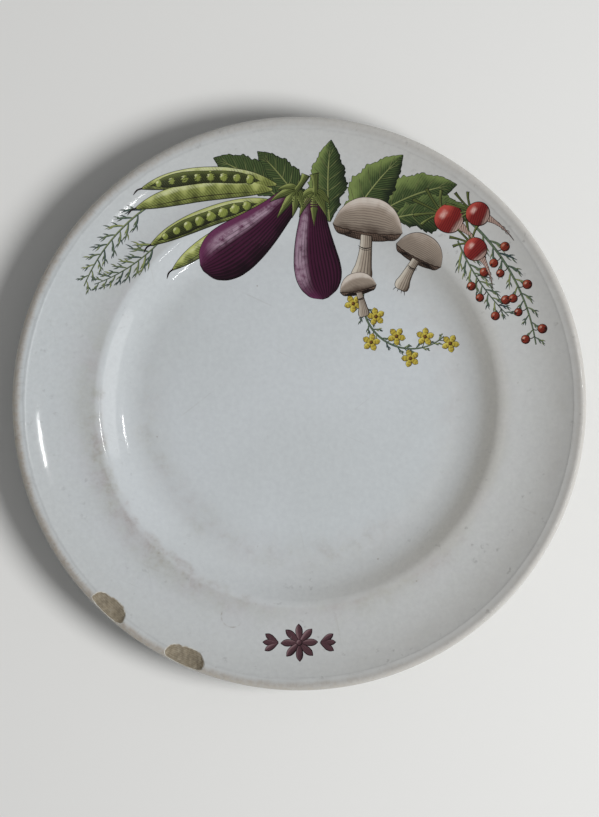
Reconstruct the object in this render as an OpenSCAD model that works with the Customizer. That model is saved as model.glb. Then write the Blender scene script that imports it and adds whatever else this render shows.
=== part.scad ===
// Dinner plate of white glazed earthenware: a flat well with a coved wall, a hollowed rim,
// a beaded lip and a foot ring. The clay body is one piece, the glaze lies over it, and a
// printed and enamelled spray of garden produce lies on the glaze. The lip has two chips.
// The origin is the middle of the foot's tread, and +Y is the side that carries the spray.

/* [Plate] */
// Diameter over the lip
plate_d = 260; // [250:1:280]
// Thickness of the plate, glaze included
plate_t = 4.2; // [3.8:0.1:4.8]

/* [Well] */
// Diameter of the flat floor
floor_d = 141.2; // [137:0.2:145]
// Radius of the cove between the floor and the wall
cove_r = 28.3; // [25:0.1:31]
// Slope of the straight wall, in degrees
wall_slope = 31; // [28:1:34]
// Width of the straight wall, seen from above
wall_w = 4.2; // [2.5:0.1:6]
// Radius of the ridge where the wall meets the rim
ridge_r = 10.1; // [7:0.1:13]

/* [Rim] */
// Slope of the rim beside the ridge, in degrees
rim_low_slope = 3.6; // [1:0.2:5]
// Width of the rim's straight run beside the ridge, before its hollow starts
rim_run_w = 5.5; // [2:0.1:8]
// Slope of the rim beside the lip, in degrees
rim_high_slope = 28; // [25:0.5:31]
// Width of the lip, from the crease to the edge
lip_w = 5.6; // [5.2:0.1:6]
// Width of the lip's raised band
band_w = 2.8; // [2.4:0.1:3.2]
// Slope of the band, in degrees
band_slope = 20; // [16:1:24]
// Length of the steep flank that lifts the band out of the crease
flank_l = 0.3; // [0.1:0.05:0.5]
// Slope of that flank, in degrees
flank_slope = 55; // [40:1:65]
// Radius between the flank and the band
flank_r = 0.8; // [0.6:0.1:1.2]

/* [Foot] */
// How far the foot ring's outer side stands out from the edge of the floor, at the tread
foot_out = 9.4; // [8:0.1:11]
// Width of the foot ring at the tread
foot_w = 3.6; // [2.6:0.1:5]
// Height of the recess inside the foot ring
foot_h = 2.6; // [2.2:0.1:4]
// Slope of the foot's sides, in degrees
foot_slope = 70; // [60:1:78]
// Radius between the foot's outer side and the plate's back
foot_cove_r = 2.5; // [1.5:0.1:4]
// Radius between the foot's inner side and the recess
recess_cove_r = 1.4; // [0.8:0.1:1.5]
// Radius of the tread's two edges
tread_edge_r = 0.5; // [0.2:0.1:0.7]

/* [Glaze and enamel] */
// Thickness of the glaze
glaze_t = 0.3; // [0.2:0.05:0.45]
// Height of bare clay on the foot, where the glaze was wiped off before firing
bare_h = 0.8; // [0.7:0.1:1]
// Thickness of the enamel on the glaze
enamel_t = 0.15; // [0.12:0.01:0.25]
// Diameter of the three scars that the kiln pins left under the rim
pin_scar_d = 2.2; // [1.6:0.1:3]
// Depth of those scars
pin_scar_depth = 0.6; // [0.5:0.1:0.9]

/* [Chips] */
// Bearing of the upper chip's middle, in degrees from +X
upper_chip_bearing = 227.4; // [200:0.1:235]
// Bearing of the lower chip's middle, in degrees from +X
lower_chip_bearing = 246.1; // [240:0.1:260]
// Depth of the upper chip below the top of the lip
upper_chip_depth = 2.6; // [1.8:0.1:3]
// Depth of the lower chip below the top of the lip
lower_chip_depth = 2.9; // [1.8:0.1:3]
// Radius of the hollow that the blow left in each chip
blow_r = 10; // [8:0.5:13]
// Radius of the flake's hollow, which runs on to the chip's narrow end
flake_r = 8; // [6:0.5:10]
// How much shallower the flake's hollow is
flake_rise = 0.3; // [0:0.05:0.6]

/* [Spray] */
// Length of the longest pea pod
pod_l = 64; // [48:1:66]
// Length of the larger aubergine
aubergine_l = 55; // [42:1:60]
// Width of the largest mushroom cap
cap_w = 32; // [24:1:34]
// Length of the longest leaf
leaf_l = 42; // [30:1:44]
// Diameter of the largest radish
radish_d = 13.5; // [10:0.5:15]
// Diameter of a currant
currant_d = 4.4; // [3:0.1:5]
// Length of a frond's longest needle
needle_l = 11; // [7:0.5:13]
// Diameter of a yellow flower
flower_d = 8.4; // [6:0.1:10]
// Width of the rosette's flower at the bottom of the rim
rosette_d = 17; // [13:0.5:19]

/* [Hidden] */

// Straight steps in each curve of the section, and facets of a whole turn
cove_steps = 6;
ridge_steps = 6;
rim_steps = 9;
edge_steps = 7;
turn_facets = 180;
// Cutters run past what they cut by this much
overrun = 2;

plate_r = plate_d / 2;
floor_r = floor_d / 2;
foot_r = floor_r + foot_out;
face_z = foot_h + plate_t;

// A unit vector at an angle, and the points of an arc about a centre
function toward(angle) = [cos(angle), sin(angle)];
function arc(centre, radius, from, to, steps) =
    [for (i = [0 : steps]) centre + radius * toward(from + (to - from) * i / steps)];
function reversed(points) = [for (i = [len(points) - 1 : -1 : 0]) points[i]];

// The section's curves meet at equal slopes, so each centre follows from the one before it.
// A surface of slope s has its normal at 90 + s degrees from the +X axis.
cove_c = [floor_r, face_z + cove_r];
wall_foot = cove_c + cove_r * toward(wall_slope - 90);
wall_top = wall_foot + wall_w * [1, tan(wall_slope)];
ridge_c = wall_top - ridge_r * toward(90 + wall_slope);
ridge_end = ridge_c + ridge_r * toward(90 + rim_low_slope);
rim_start = ridge_end + rim_run_w * [1, tan(rim_low_slope)];
crease_r = plate_r - lip_w;
rim_r = (crease_r - rim_start.x) / (sin(rim_high_slope) - sin(rim_low_slope));
rim_c = rim_start - rim_r * toward(rim_low_slope - 90);
crease = rim_c + rim_r * toward(rim_high_slope - 90);
flank_top = crease + flank_l * toward(flank_slope);
flank_c = flank_top - flank_r * toward(90 + flank_slope);
band_start = flank_c + flank_r * toward(90 + band_slope);
band_run = crease_r + band_w - band_start.x;
band_end = band_start + band_run * [1, tan(band_slope)];
roll_r = (lip_w - band_w) / (1 + sin(band_slope));
roll_c = band_end - roll_r * toward(90 + band_slope);
lip_top_z = roll_c.y + roll_r;

// The lip's under side rolls on to the back of the rim, which shares the rim's centre
back_r = rim_r + plate_t;
from_rim_c = [plate_r - rim_c.x, roll_c.y - rim_c.y];
under_r = (back_r ^ 2 - from_rim_c * from_rim_c) / (2 * (back_r - from_rim_c.x));
under_c = [plate_r - under_r, roll_c.y];
under_slope = atan2(under_c.x - rim_c.x, rim_c.y - under_c.y);

// The foot's outer side runs in a cove to the back of the well, which shares cove_c
side_way = toward(foot_slope);
side_offset = foot_cove_r * toward(foot_slope - 90);
side_gap = [foot_r, 0] + side_offset - cove_c;
cove_reach = cove_r + plate_t + foot_cove_r;
side_lean = side_gap * side_way;
side_run = -side_lean - sqrt(side_lean ^ 2 - side_gap * side_gap + cove_reach ^ 2);
foot_c = [foot_r, 0] + side_offset + side_run * side_way;
foot_tangent = atan2(foot_c.x - cove_c.x, cove_c.y - foot_c.y);
recess_r = foot_r - foot_w;
recess_c_z = foot_h - recess_cove_r;
recess_c = [recess_r - recess_c_z / tan(foot_slope) - recess_cove_r / sin(foot_slope), recess_c_z];

// The face from the axis to the crease, at a depth under the glaze's surface
function face(depth) = concat(
    [[0, face_z - depth]],
    arc(cove_c, cove_r + depth, -90, wall_slope - 90, cove_steps),
    arc(ridge_c, ridge_r - depth, 90 + wall_slope, 90 + rim_low_slope, ridge_steps),
    arc(rim_c, rim_r + depth, rim_low_slope - 90, rim_high_slope - 90, rim_steps));

// The crease is a sharp corner, which stays sharp at each depth
crease_slope = (rim_high_slope + flank_slope) / 2;
crease_half = (flank_slope - rim_high_slope) / 2;
function crease_at(depth) = crease - depth / cos(crease_half) * toward(90 + crease_slope);

// The lip from the crease over the edge to the back of the rim
function lip(depth) = concat(
    [crease_at(depth)],
    arc(flank_c, flank_r - depth, 90 + flank_slope, 90 + band_slope, edge_steps),
    arc(roll_c, roll_r - depth, 90 + band_slope, 0, edge_steps),
    arc(under_c, under_r - depth, 0, under_slope - 90, edge_steps));

// The back from the lip to the foot ring's outer side, down to the edge of the glaze
function back(depth) = concat(
    arc(rim_c, back_r - depth, under_slope - 90, rim_low_slope - 90, rim_steps),
    arc(ridge_c, ridge_r - plate_t + depth, 90 + rim_low_slope, 90 + wall_slope, ridge_steps),
    arc(cove_c, cove_r + plate_t - depth, wall_slope - 90, foot_tangent - 90, cove_steps),
    arc(foot_c, foot_cove_r + depth, 90 + foot_tangent, 90 + foot_slope, edge_steps),
    [[foot_r - depth / sin(foot_slope) + bare_h / tan(foot_slope), bare_h]]);

function skin(depth) = concat(face(depth), lip(depth), back(depth));

// The recess from the axis to the foot ring's inner side, down to the edge of the glaze
function recess(depth) = concat(
    [[0, foot_h + depth]],
    arc(recess_c, recess_cove_r + depth, 90, 90 - foot_slope, edge_steps),
    [[recess_r + depth / sin(foot_slope) - bare_h / tan(foot_slope), bare_h]]);

// The bare tread, from the outer side to the inner one
tread_shift = tread_edge_r * (1 - cos(foot_slope)) / sin(foot_slope);
outer_edge_c = [foot_r - glaze_t / sin(foot_slope) - tread_shift, tread_edge_r];
inner_edge_c = [recess_r + glaze_t / sin(foot_slope) + tread_shift, tread_edge_r];
tread = concat(
    arc(outer_edge_c, tread_edge_r, foot_slope - 90, -90, edge_steps),
    arc(inner_edge_c, tread_edge_r, -90, -90 - foot_slope, edge_steps));

// Shares of the plate's radius by which the two hollows of a chip lie in from the edge
blow_in_share = 0.038;
flake_in_share = 0.035;
// Their turns from the chip's middle, and their lean towards the axis, in degrees
blow_turn = 1.1;
flake_turn = -1.8;
chip_lean = 14;
pin_scar_share = 0.86;

module hollow(bearing, in_share, radius, depth) {
    lift = radius - depth;
    rotate([0, 0, bearing])
        translate([plate_r * (1 - in_share) - lift * sin(chip_lean), 0, lip_top_z + lift * cos(chip_lean)])
            sphere(radius, $fn = turn_facets);
}

module chip(bearing, depth) {
    hollow(bearing + blow_turn, blow_in_share, blow_r, depth);
    hollow(bearing + flake_turn, flake_in_share, flake_r, depth - flake_rise);
}

module chips() {
    chip(upper_chip_bearing, upper_chip_depth);
    chip(lower_chip_bearing, lower_chip_depth);
}

// Kiln pin scars, a third of a turn apart, sunk into the back of the rim
pin_scar_r = plate_r * pin_scar_share;
pin_scar_z = rim_c.y - sqrt(back_r ^ 2 - (pin_scar_r - rim_c.x) ^ 2);
pin_ball_r = (pin_scar_d ^ 2 / 4 + pin_scar_depth ^ 2) / (2 * pin_scar_depth);
module pin_scars() {
    for (turn = [0 : 2])
        rotate([0, 0, 90 + 120 * turn])
            translate([pin_scar_r, 0, pin_scar_z + pin_scar_depth - pin_ball_r])
                sphere(pin_ball_r, $fn = turn_facets / 2);
}

module turned(section) {
    rotate_extrude($fn = turn_facets)
        polygon(section);
}

module biscuit_body() {
    color([0.62, 0.58, 0.5])
        difference() {
            turned(concat(skin(glaze_t), tread, reversed(recess(glaze_t))));
            chips();
            pin_scars();
        }
}

module outer_glaze() {
    color([0.9, 0.91, 0.92])
        difference() {
            turned(concat(skin(0), reversed(skin(glaze_t))));
            chips();
            pin_scars();
        }
}

module recess_glaze() {
    color([0.87, 0.88, 0.89])
        turned(concat(recess(0), reversed(recess(glaze_t))));
}

// A flat outline laid on the glaze as a film of enamel
module enamel() {
    intersection() {
        turned(concat(face(-enamel_t), reversed(face(0))));
        translate([0, 0, face_z - overrun])
            linear_extrude(lip_top_z - face_z + 2 * overrun)
                children();
    }
}

// A form of the spray starts at a bearing and a share of the plate's radius. It heads off at
// an angle, and its middle line bends through an angle over its length.
// place = [bearing, radius share, heading, length, half width, bend]
function form_start(place) = plate_r * place[1] * toward(place[0]);
function bend_r(place) = place[3] * 180 / (PI * place[5]);
function along(place, share) =
    form_start(place)
    + bend_r(place) * (toward(place[2] + place[5] * share - 90) - toward(place[2] - 90));
function beside(place, share, side) =
    along(place, share) + side * place[4] * toward(place[2] + place[5] * share + 90);
function form_outline(place, shares) = concat(
    [for (s = shares) beside(place, s[0], s[1])],
    [for (i = [len(shares) - 1 : -1 : 0]) beside(place, shares[i][0], -shares[i][1])]);

module form(place, shares) {
    polygon(form_outline(place, shares));
}

// Each form's half widths along its length, as shares of its length and of its half width
aubergine_shares = [[0, 0.36], [0.1, 0.48], [0.25, 0.62], [0.4, 0.78], [0.55, 0.92], [0.68, 1],
    [0.8, 0.97], [0.9, 0.78], [0.96, 0.52], [1, 0.12]];
pod_shares = [[0, 0.12], [0.06, 0.4], [0.16, 0.72], [0.32, 0.95], [0.5, 1], [0.7, 0.92],
    [0.85, 0.66], [0.94, 0.34], [1, 0.05]];
leaf_shares = [[0, 0.06], [0.1, 0.3], [0.2, 0.62], [0.27, 0.55], [0.38, 0.9], [0.48, 1],
    [0.55, 0.84], [0.66, 0.86], [0.74, 0.62], [0.84, 0.5], [0.93, 0.24], [1, 0.02]];
stalk_shares = [[0, 1], [0.5, 0.8], [1, 0.5]];
needle_shares = [[0, 0.5], [0.4, 1], [1, 0.15]];
petal_shares = [[0, 0.2], [0.35, 0.8], [0.6, 1], [0.85, 0.7], [1, 0.1]];
// Half of a mushroom cap's outline, as shares of its width, from the top to the gills
cap_shares = [[0, 0.46], [0.12, 0.45], [0.25, 0.4], [0.37, 0.3], [0.45, 0.17], [0.5, 0.02],
    [0.46, -0.05], [0.3, -0.12], [0.12, -0.15], [0, -0.16]];

// Half widths of forms, as shares of their own lengths
aubergine_fat_share = 0.222;
pod_fat_share = 0.074;
leaf_fat_share = 0.25;
petal_fat_share = 0.34;
stalk_fat_share = 0.01;
needle_fat_share = 0.05;
currant_gap_share = 0.95;
flower_reach_share = 0.52;
// How far needles and petals bend, in degrees, and how the flowers are spaced and turned
needle_curl = 25;
petal_curl = 4;
flower_count = 7;
flower_turn = 50;
cap_stem_l_share = 0.75;
cap_stem_fat_share = 0.15;

// Where the forms start: [bearing, radius share, heading, size share, bend]
aubergine_place_shares = [[91.2, 0.739, 230, 1, -22], [85.8, 0.733, 264, 0.87, 24]];
pod_place_shares = [[95.9, 0.768, 165, 0.98, 34], [97.1, 0.752, 174, 1, 28], [97.4, 0.714, 188, 0.94, 24],
    [99.1, 0.678, 202, 0.81, 18]];
leaf_place_shares = [[80.5, 0.645, 96, 0.88, -14], [88.7, 0.68, 120, 0.8, 18], [75, 0.635, 62, 1, -20],
    [96.1, 0.727, 138, 0.81, 22], [68.4, 0.7, 36, 0.98, -30], [63.4, 0.722, 15, 0.9, -26]];
radish_place_shares = [[51, 0.831, 326, 1, -30], [41.2, 0.818, 306, 0.8, -30], [46.7, 0.909, 336, 0.82, -30]];
frond_place_shares = [[126, 0.865, 212, 0.385, 36], [129.6, 0.749, 228, 0.29, -28],
    [46.4, 0.871, 317, 0.49, -38], [45.8, 0.794, 292, 0.32, 24]];
vine_place_share = [60.9, 0.475, 252, 0.446, 150];
// Mushrooms: [bearing, radius share, tilt, size share]
cap_place_shares = [[68.6, 0.653, -8, 1], [51.1, 0.662, -28, 0.72], [62.6, 0.451, 12, 0.53]];
// Currants on the two right-hand fronds: [place along the frond, side]
currant_shares = [
    [[0.28, 1], [0.33, -1], [0.42, -1], [0.58, 1], [0.63, -1], [0.74, -1], [0.9, 1], [0.95, -1]],
    [[0.45, 1], [0.5, -1], [0.65, -1], [0.85, 1], [0.9, -1]]];

function form_place(p, size, fat_share) =
    [p[0], p[1], p[2], size * p[3], size * p[3] * fat_share, p[4]];
function frond_place(p) = [p[0], p[1], p[2], plate_r * p[3], plate_r * p[3] * stalk_fat_share, p[4]];

module aubergines() {
    for (p = aubergine_place_shares)
        form(form_place(p, aubergine_l, aubergine_fat_share), aubergine_shares);
}

module pods() {
    for (p = pod_place_shares)
        form(form_place(p, pod_l, pod_fat_share), pod_shares);
}

module leaves() {
    for (p = leaf_place_shares)
        form(form_place(p, leaf_l, leaf_fat_share), leaf_shares);
}

// One mushroom: a domed cap seen from the side over its stem
module mushroom(width) {
    cap = [for (s = cap_shares) width * s];
    polygon(concat(cap, [for (p = reversed(cap)) [-p.x, p.y]]));
    stem_l = width * cap_stem_l_share;
    stem_w = width * cap_stem_fat_share;
    translate([0, -stem_l])
        polygon([[-stem_w, 0], [stem_w, 0], [stem_w / 2, stem_l], [-stem_w / 2, stem_l]]);
}

module mushrooms() {
    for (p = cap_place_shares)
        translate(form_start(p))
            rotate(p[2])
                mushroom(cap_w * p[3]);
}

// Radishes: a globe with a root that tapers away along its heading
root_l_share = 1.8;
root_fat_share = 0.17;
root_shares = [[0, 1], [0.2, 0.6], [0.5, 0.3], [1, 0.06]];
module radishes() {
    for (p = radish_place_shares) {
        globe_d = radish_d * p[3];
        translate(form_start(p))
            circle(globe_d / 2, $fn = turn_facets / 3);
        form([p[0], p[1], p[2], globe_d * root_l_share, globe_d * root_fat_share, p[4]], root_shares);
    }
}

// Fronds: a stalk with needles that lean forward on both sides of it
needle_pairs = 8;
needle_lean = 48;
needle_start_share = 0.12;
module frond(place) {
    form(place, stalk_shares);
    for (i = [0 : needle_pairs - 1], side = [-1, 1]) {
        share = needle_start_share + (1 - needle_start_share) * (i + (side + 1) / 4) / needle_pairs;
        length = needle_l * (1 - share / 2);
        translate(along(place, share))
            rotate(place[2] + place[5] * share + side * needle_lean)
                form([0, 0, 0, length, length * needle_fat_share, -side * needle_curl], needle_shares);
    }
}

module fronds() {
    for (p = frond_place_shares)
        frond(frond_place(p));
}

// A point at a distance beside a form's middle line
function off(place, share, reach) = along(place, share) + reach * toward(place[2] + place[5] * share + 90);

module currants() {
    for (i = [0, 1], c = currant_shares[i])
        translate(off(frond_place(frond_place_shares[i + 2]), c[0], c[1] * currant_d * currant_gap_share))
            circle(currant_d / 2, $fn = turn_facets / 5);
}

// The vine curls into the well, with a flower of five petals at each step
vine_place = frond_place(vine_place_share);
module flower() {
    for (turn = [0 : 4])
        rotate(72 * turn)
            form([0, 0, 0, flower_d / 2, flower_d / 2 * petal_fat_share, petal_curl], petal_shares);
}

module flowers() {
    for (i = [1 : flower_count])
        translate(off(vine_place, i / flower_count, (i % 2 == 0 ? 1 : -1) * flower_d * flower_reach_share))
            rotate(flower_turn * i)
                flower();
}

// The rosette at the bottom of the rim, with a spray of three leaves on each side
rosette_share = 0.835;
rosette_fat_share = 0.2;
rosette_leaf_share = 0.56;
rosette_leaf_l_share = 0.42;
module rosette() {
    petals = 8;
    leaf_length = rosette_d * rosette_leaf_l_share;
    translate([0, -plate_r * rosette_share]) {
        for (turn = [0 : petals - 1])
            rotate(360 / petals * turn)
                form([0, 0, 0, rosette_d / 2, rosette_d / 2 * rosette_fat_share, petal_curl], petal_shares);
        for (side = [0, 1], lean = [-32, 0, 32])
            mirror([side, 0])
                translate([rosette_d * rosette_leaf_share, 0])
                    rotate(lean)
                        form([0, 0, 0, leaf_length, leaf_length * rosette_fat_share, petal_curl], petal_shares);
    }
}

// What lies in front is left out of what lies behind, so that no two films overlap
module aubergine_enamel() {
    color([0.27, 0.1, 0.24])
        enamel()
            aubergines();
}

module mushroom_enamel() {
    color([0.58, 0.53, 0.47])
        enamel()
            difference() {
                mushrooms();
                aubergines();
            }
}

module radish_enamel() {
    color([0.6, 0.16, 0.12])
        enamel()
            difference() {
                radishes();
                mushrooms();
            }
}

module pea_pod_enamel() {
    color([0.55, 0.6, 0.3])
        enamel()
            difference() {
                pods();
                aubergines();
            }
}

module leaf_enamel() {
    color([0.2, 0.32, 0.2])
        enamel()
            difference() {
                leaves();
                aubergines();
                mushrooms();
                radishes();
                pods();
            }
}

module currant_enamel() {
    color([0.62, 0.14, 0.1])
        enamel()
            difference() {
                currants();
                radishes();
            }
}

module frond_enamel() {
    color([0.25, 0.4, 0.38])
        enamel()
            difference() {
                fronds();
                currants();
                pods();
                leaves();
                radishes();
            }
}

module flower_enamel() {
    color([0.8, 0.7, 0.2])
        enamel()
            difference() {
                union() {
                    form(vine_place, stalk_shares);
                    flowers();
                }
                mushrooms();
            }
}

module rosette_enamel() {
    color([0.28, 0.16, 0.18])
        enamel()
            rosette();
}

biscuit_body();
outer_glaze();
recess_glaze();
aubergine_enamel();
pea_pod_enamel();
mushroom_enamel();
leaf_enamel();
radish_enamel();
currant_enamel();
frond_enamel();
flower_enamel();
rosette_enamel();
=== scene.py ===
# %% [markdown]
# # A dinner plate of white earthenware, with a printed spray and two chips
# The real plate is a single disc of fired clay under a skin of clear glaze, and the picture on
# it is enamel that was fired on to the glaze. Nothing on it moves. The CAD model already has the
# clay, the glaze and each colour of enamel as closed solids. This file loads them as a fixed
# frame, then dresses each one in a finer surface that keeps to the same section and places.

# %% Load the CAD frame
import bpy
import numpy as np
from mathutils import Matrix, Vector


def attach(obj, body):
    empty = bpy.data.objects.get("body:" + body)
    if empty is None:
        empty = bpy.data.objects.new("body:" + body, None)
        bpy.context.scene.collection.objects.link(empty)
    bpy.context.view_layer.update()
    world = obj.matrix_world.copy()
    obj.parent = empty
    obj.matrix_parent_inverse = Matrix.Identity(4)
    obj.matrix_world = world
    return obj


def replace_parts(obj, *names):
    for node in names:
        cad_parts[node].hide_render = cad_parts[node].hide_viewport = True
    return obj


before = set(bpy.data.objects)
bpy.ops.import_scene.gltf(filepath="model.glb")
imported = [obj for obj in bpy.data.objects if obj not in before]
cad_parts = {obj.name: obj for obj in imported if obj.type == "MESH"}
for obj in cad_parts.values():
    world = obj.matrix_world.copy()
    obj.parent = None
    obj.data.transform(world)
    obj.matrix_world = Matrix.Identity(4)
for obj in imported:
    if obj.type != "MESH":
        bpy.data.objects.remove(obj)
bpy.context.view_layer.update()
print("CAD nodes:", sorted(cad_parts))

# %% [markdown]
# ## The section
# A plate is turned: one outline goes once round the axis. So the whole body comes down to a few
# curves from the floor through the cove and the ridge to the hollowed rim and the beaded lip.
# They meet without a corner, but for the crease beside the lip. A lathe in Blender (the Screw
# modifier) could spin a drawn line, but here named sizes give the curves. They are the CAD's
# own, except at the lip: its flank and its band slope less here, as on the real plate, so the
# lip is 0.4 mm lower.

# %% Sizes of the section, in millimetres and degrees
MM = 0.001
PLATE_R, PLATE_T = 130.0, 4.2
FLOOR_R, COVE_R, WALL_SLOPE, WALL_W, RIDGE_R = 70.6, 28.3, 31.0, 4.2, 10.1
RIM_LOW, RIM_RUN_W, RIM_HIGH = 3.6, 5.5, 28.0
LIP_W, BAND_W, BAND_SLOPE = 5.8, 3.0, 17.0
FLANK_L, FLANK_SLOPE, FLANK_R = 0.1, 33.0, 1.6
FOOT_R, FOOT_W, FOOT_H, FOOT_SLOPE = 80.0, 3.6, 2.6, 70.0
FOOT_COVE_R, RECESS_COVE_R, TREAD_EDGE_R = 2.5, 1.4, 0.5
GLAZE_T, BARE_H = 0.3, 0.8
FACE_Z = FOOT_H + PLATE_T
print(f"plate {2 * PLATE_R:.0f} mm across and {PLATE_T} mm thick, floor of the well {2 * FLOOR_R:.1f} mm")


def toward(degrees):
    """A step of one unit at an angle: its cosine and its sine, for one angle or a whole array."""
    angle = np.radians(degrees)
    return np.stack([np.cos(angle), np.sin(angle)], axis=-1)


def rise(degrees):
    """The sine of an angle, which is how far a slope of that angle climbs for one unit of its length."""
    return toward(degrees)[..., 1]


def steep(degrees):
    """The tangent of an angle: sine over cosine."""
    return toward(degrees)[..., 1] / toward(degrees)[..., 0]


# %% Centres of the section's curves
cove_c = np.array([FLOOR_R, FACE_Z + COVE_R])
wall_top = cove_c + COVE_R * toward(WALL_SLOPE - 90) + WALL_W * np.array([1, steep(WALL_SLOPE)])
ridge_c = wall_top - RIDGE_R * toward(90 + WALL_SLOPE)
ridge_end = ridge_c + RIDGE_R * toward(90 + RIM_LOW)
rim_start = ridge_end + RIM_RUN_W * np.array([1, steep(RIM_LOW)])
crease_r = PLATE_R - LIP_W
rim_r = (crease_r - rim_start[0]) / (rise(RIM_HIGH) - rise(RIM_LOW))
rim_c = rim_start - rim_r * toward(RIM_LOW - 90)
crease = rim_c + rim_r * toward(RIM_HIGH - 90)
flank_c = crease + FLANK_L * toward(FLANK_SLOPE) - FLANK_R * toward(90 + FLANK_SLOPE)
band_start = flank_c + FLANK_R * toward(90 + BAND_SLOPE)
band_run = crease_r + BAND_W - band_start[0]
roll_r = (LIP_W - BAND_W) / (1 + rise(BAND_SLOPE))
roll_c = band_start + band_run * np.array([1, steep(BAND_SLOPE)]) - roll_r * toward(90 + BAND_SLOPE)
lip_top = roll_c[1] + roll_r
back_r = rim_r + PLATE_T
reach = np.array([PLATE_R, roll_c[1]]) - rim_c
under_r = (back_r ** 2 - reach @ reach) / (2 * (back_r - reach[0]))
under_c = np.array([PLATE_R - under_r, roll_c[1]])
under_slope = np.degrees(np.arctan2(under_c[0] - rim_c[0], rim_c[1] - under_c[1]))
side_way, side_step = toward(FOOT_SLOPE), FOOT_COVE_R * toward(FOOT_SLOPE - 90)
side_gap = np.array([FOOT_R, 0]) + side_step - cove_c
side_lean = side_gap @ side_way
cove_reach = COVE_R + PLATE_T + FOOT_COVE_R
side_run = -side_lean - np.sqrt(side_lean ** 2 - side_gap @ side_gap + cove_reach ** 2)
foot_c = np.array([FOOT_R, 0]) + side_step + side_run * side_way
foot_tangent = np.degrees(np.arctan2(foot_c[0] - cove_c[0], cove_c[1] - foot_c[1]))
recess_r = FOOT_R - FOOT_W
recess_z = FOOT_H - RECESS_COVE_R
recess_c = np.array([recess_r - recess_z / steep(FOOT_SLOPE) - RECESS_COVE_R / rise(FOOT_SLOPE), recess_z])
tread_shift = TREAD_EDGE_R * (1 - toward(FOOT_SLOPE)[0]) / rise(FOOT_SLOPE)
print(f"rim hollow radius {rim_r:.1f} mm, crease at height {crease[1]:.2f} mm, lip top {lip_top:.2f} mm")

# %% The section's runs, each at a depth under the glaze's surface
# Straight steps in the floor, cove, ridge and rim of the face, in the flank, roll and under side
# of the lip, in the rim, ridge, cove and foot of the back, and in the flat and cove of the recess
FACE_STEPS, LIP_STEPS, BACK_STEPS, RECESS_STEPS = (8, 18, 18, 30), (8, 22, 14), (24, 12, 5, 10), (8, 12)
TREAD_STEPS = 8


def counts(steps, fine):
    """Numbers of steps, each times a share and rounded."""
    return np.rint(np.array(steps) * fine).astype(int)


def arc(centre, radius, start, stop, steps):
    """Points of an arc: the centre plus the radius times the direction of each angle between."""
    return np.add(centre, radius * toward(np.linspace(start, stop, steps + 1)))


def flat(radius, height, steps):
    """Points of a level line that starts on the axis and stops one step short of a radius."""
    return np.stack([np.linspace(0, radius, steps, endpoint=False), np.full(steps, height)], -1)


def face(depth, fine=1.0):
    """Axis to crease: the flat floor, the cove, the ridge and the rim's hollow, joined by straight runs."""
    floor, cove, ridge, rim = counts(FACE_STEPS, fine)
    return np.concatenate([
        flat(FLOOR_R, FACE_Z - depth, floor),
        arc(cove_c, COVE_R + depth, -90, WALL_SLOPE - 90, cove),
        arc(ridge_c, RIDGE_R - depth, 90 + WALL_SLOPE, 90 + RIM_LOW, ridge),
        arc(rim_c, rim_r + depth, RIM_LOW - 90, RIM_HIGH - 90, rim),
    ])


def lip(depth, fine=1.0):
    """Crease to the lip's under side: the short flank, the sloping band and the rolled edge."""
    flank, roll, under = counts(LIP_STEPS, fine)
    half = (FLANK_SLOPE - RIM_HIGH) / 2
    corner = crease - depth / toward(half)[0] * toward(90 + (RIM_HIGH + FLANK_SLOPE) / 2)
    return np.concatenate([
        corner[None],
        arc(flank_c, FLANK_R - depth, 90 + FLANK_SLOPE, 90 + BAND_SLOPE, flank),
        arc(roll_c, roll_r - depth, 90 + BAND_SLOPE, 0, roll),
        arc(under_c, under_r - depth, 0, under_slope - 90, under)[1:],
    ])


def back(depth, fine=1.0):
    """Under side of the rim to the foot's bare edge: the same centres as the face, a plate's thickness on."""
    rim, ridge, cove, foot = counts(BACK_STEPS, fine)
    return np.concatenate([
        arc(rim_c, back_r - depth, under_slope - 90, RIM_LOW - 90, rim)[1:],
        arc(ridge_c, RIDGE_R - PLATE_T + depth, 90 + RIM_LOW, 90 + WALL_SLOPE, ridge),
        arc(cove_c, COVE_R + PLATE_T - depth, WALL_SLOPE - 90, foot_tangent - 90, cove),
        arc(foot_c, FOOT_COVE_R + depth, 90 + foot_tangent, 90 + FOOT_SLOPE, foot)[1:],
        [[FOOT_R - depth / rise(FOOT_SLOPE) + BARE_H / steep(FOOT_SLOPE), BARE_H]],
    ])


def recess(depth):
    """Inside of the foot ring, from the axis to its bare edge: a flat and a small cove."""
    level, cove = RECESS_STEPS
    return np.concatenate([
        flat(recess_c[0], FOOT_H + depth, level),
        arc(recess_c, RECESS_COVE_R + depth, 90, 90 - FOOT_SLOPE, cove),
        [[recess_r + depth / rise(FOOT_SLOPE) - BARE_H / steep(FOOT_SLOPE), BARE_H]],
    ])


def skin(depth, fine=1.0):
    """The whole glazed outline: face, lip and back."""
    return np.concatenate([face(depth, fine), lip(depth, fine), back(depth, fine)])


tread_outer = [FOOT_R - GLAZE_T / rise(FOOT_SLOPE) - tread_shift, TREAD_EDGE_R]
tread_inner = [recess_r + GLAZE_T / rise(FOOT_SLOPE) + tread_shift, TREAD_EDGE_R]
tread = np.concatenate([
    arc(tread_outer, TREAD_EDGE_R, FOOT_SLOPE - 90, -90, TREAD_STEPS),
    arc(tread_inner, TREAD_EDGE_R, -90, -90 - FOOT_SLOPE, TREAD_STEPS),
])
glaze_line = face(0)
print("points in the glazed outline:", len(skin(0)))

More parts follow.
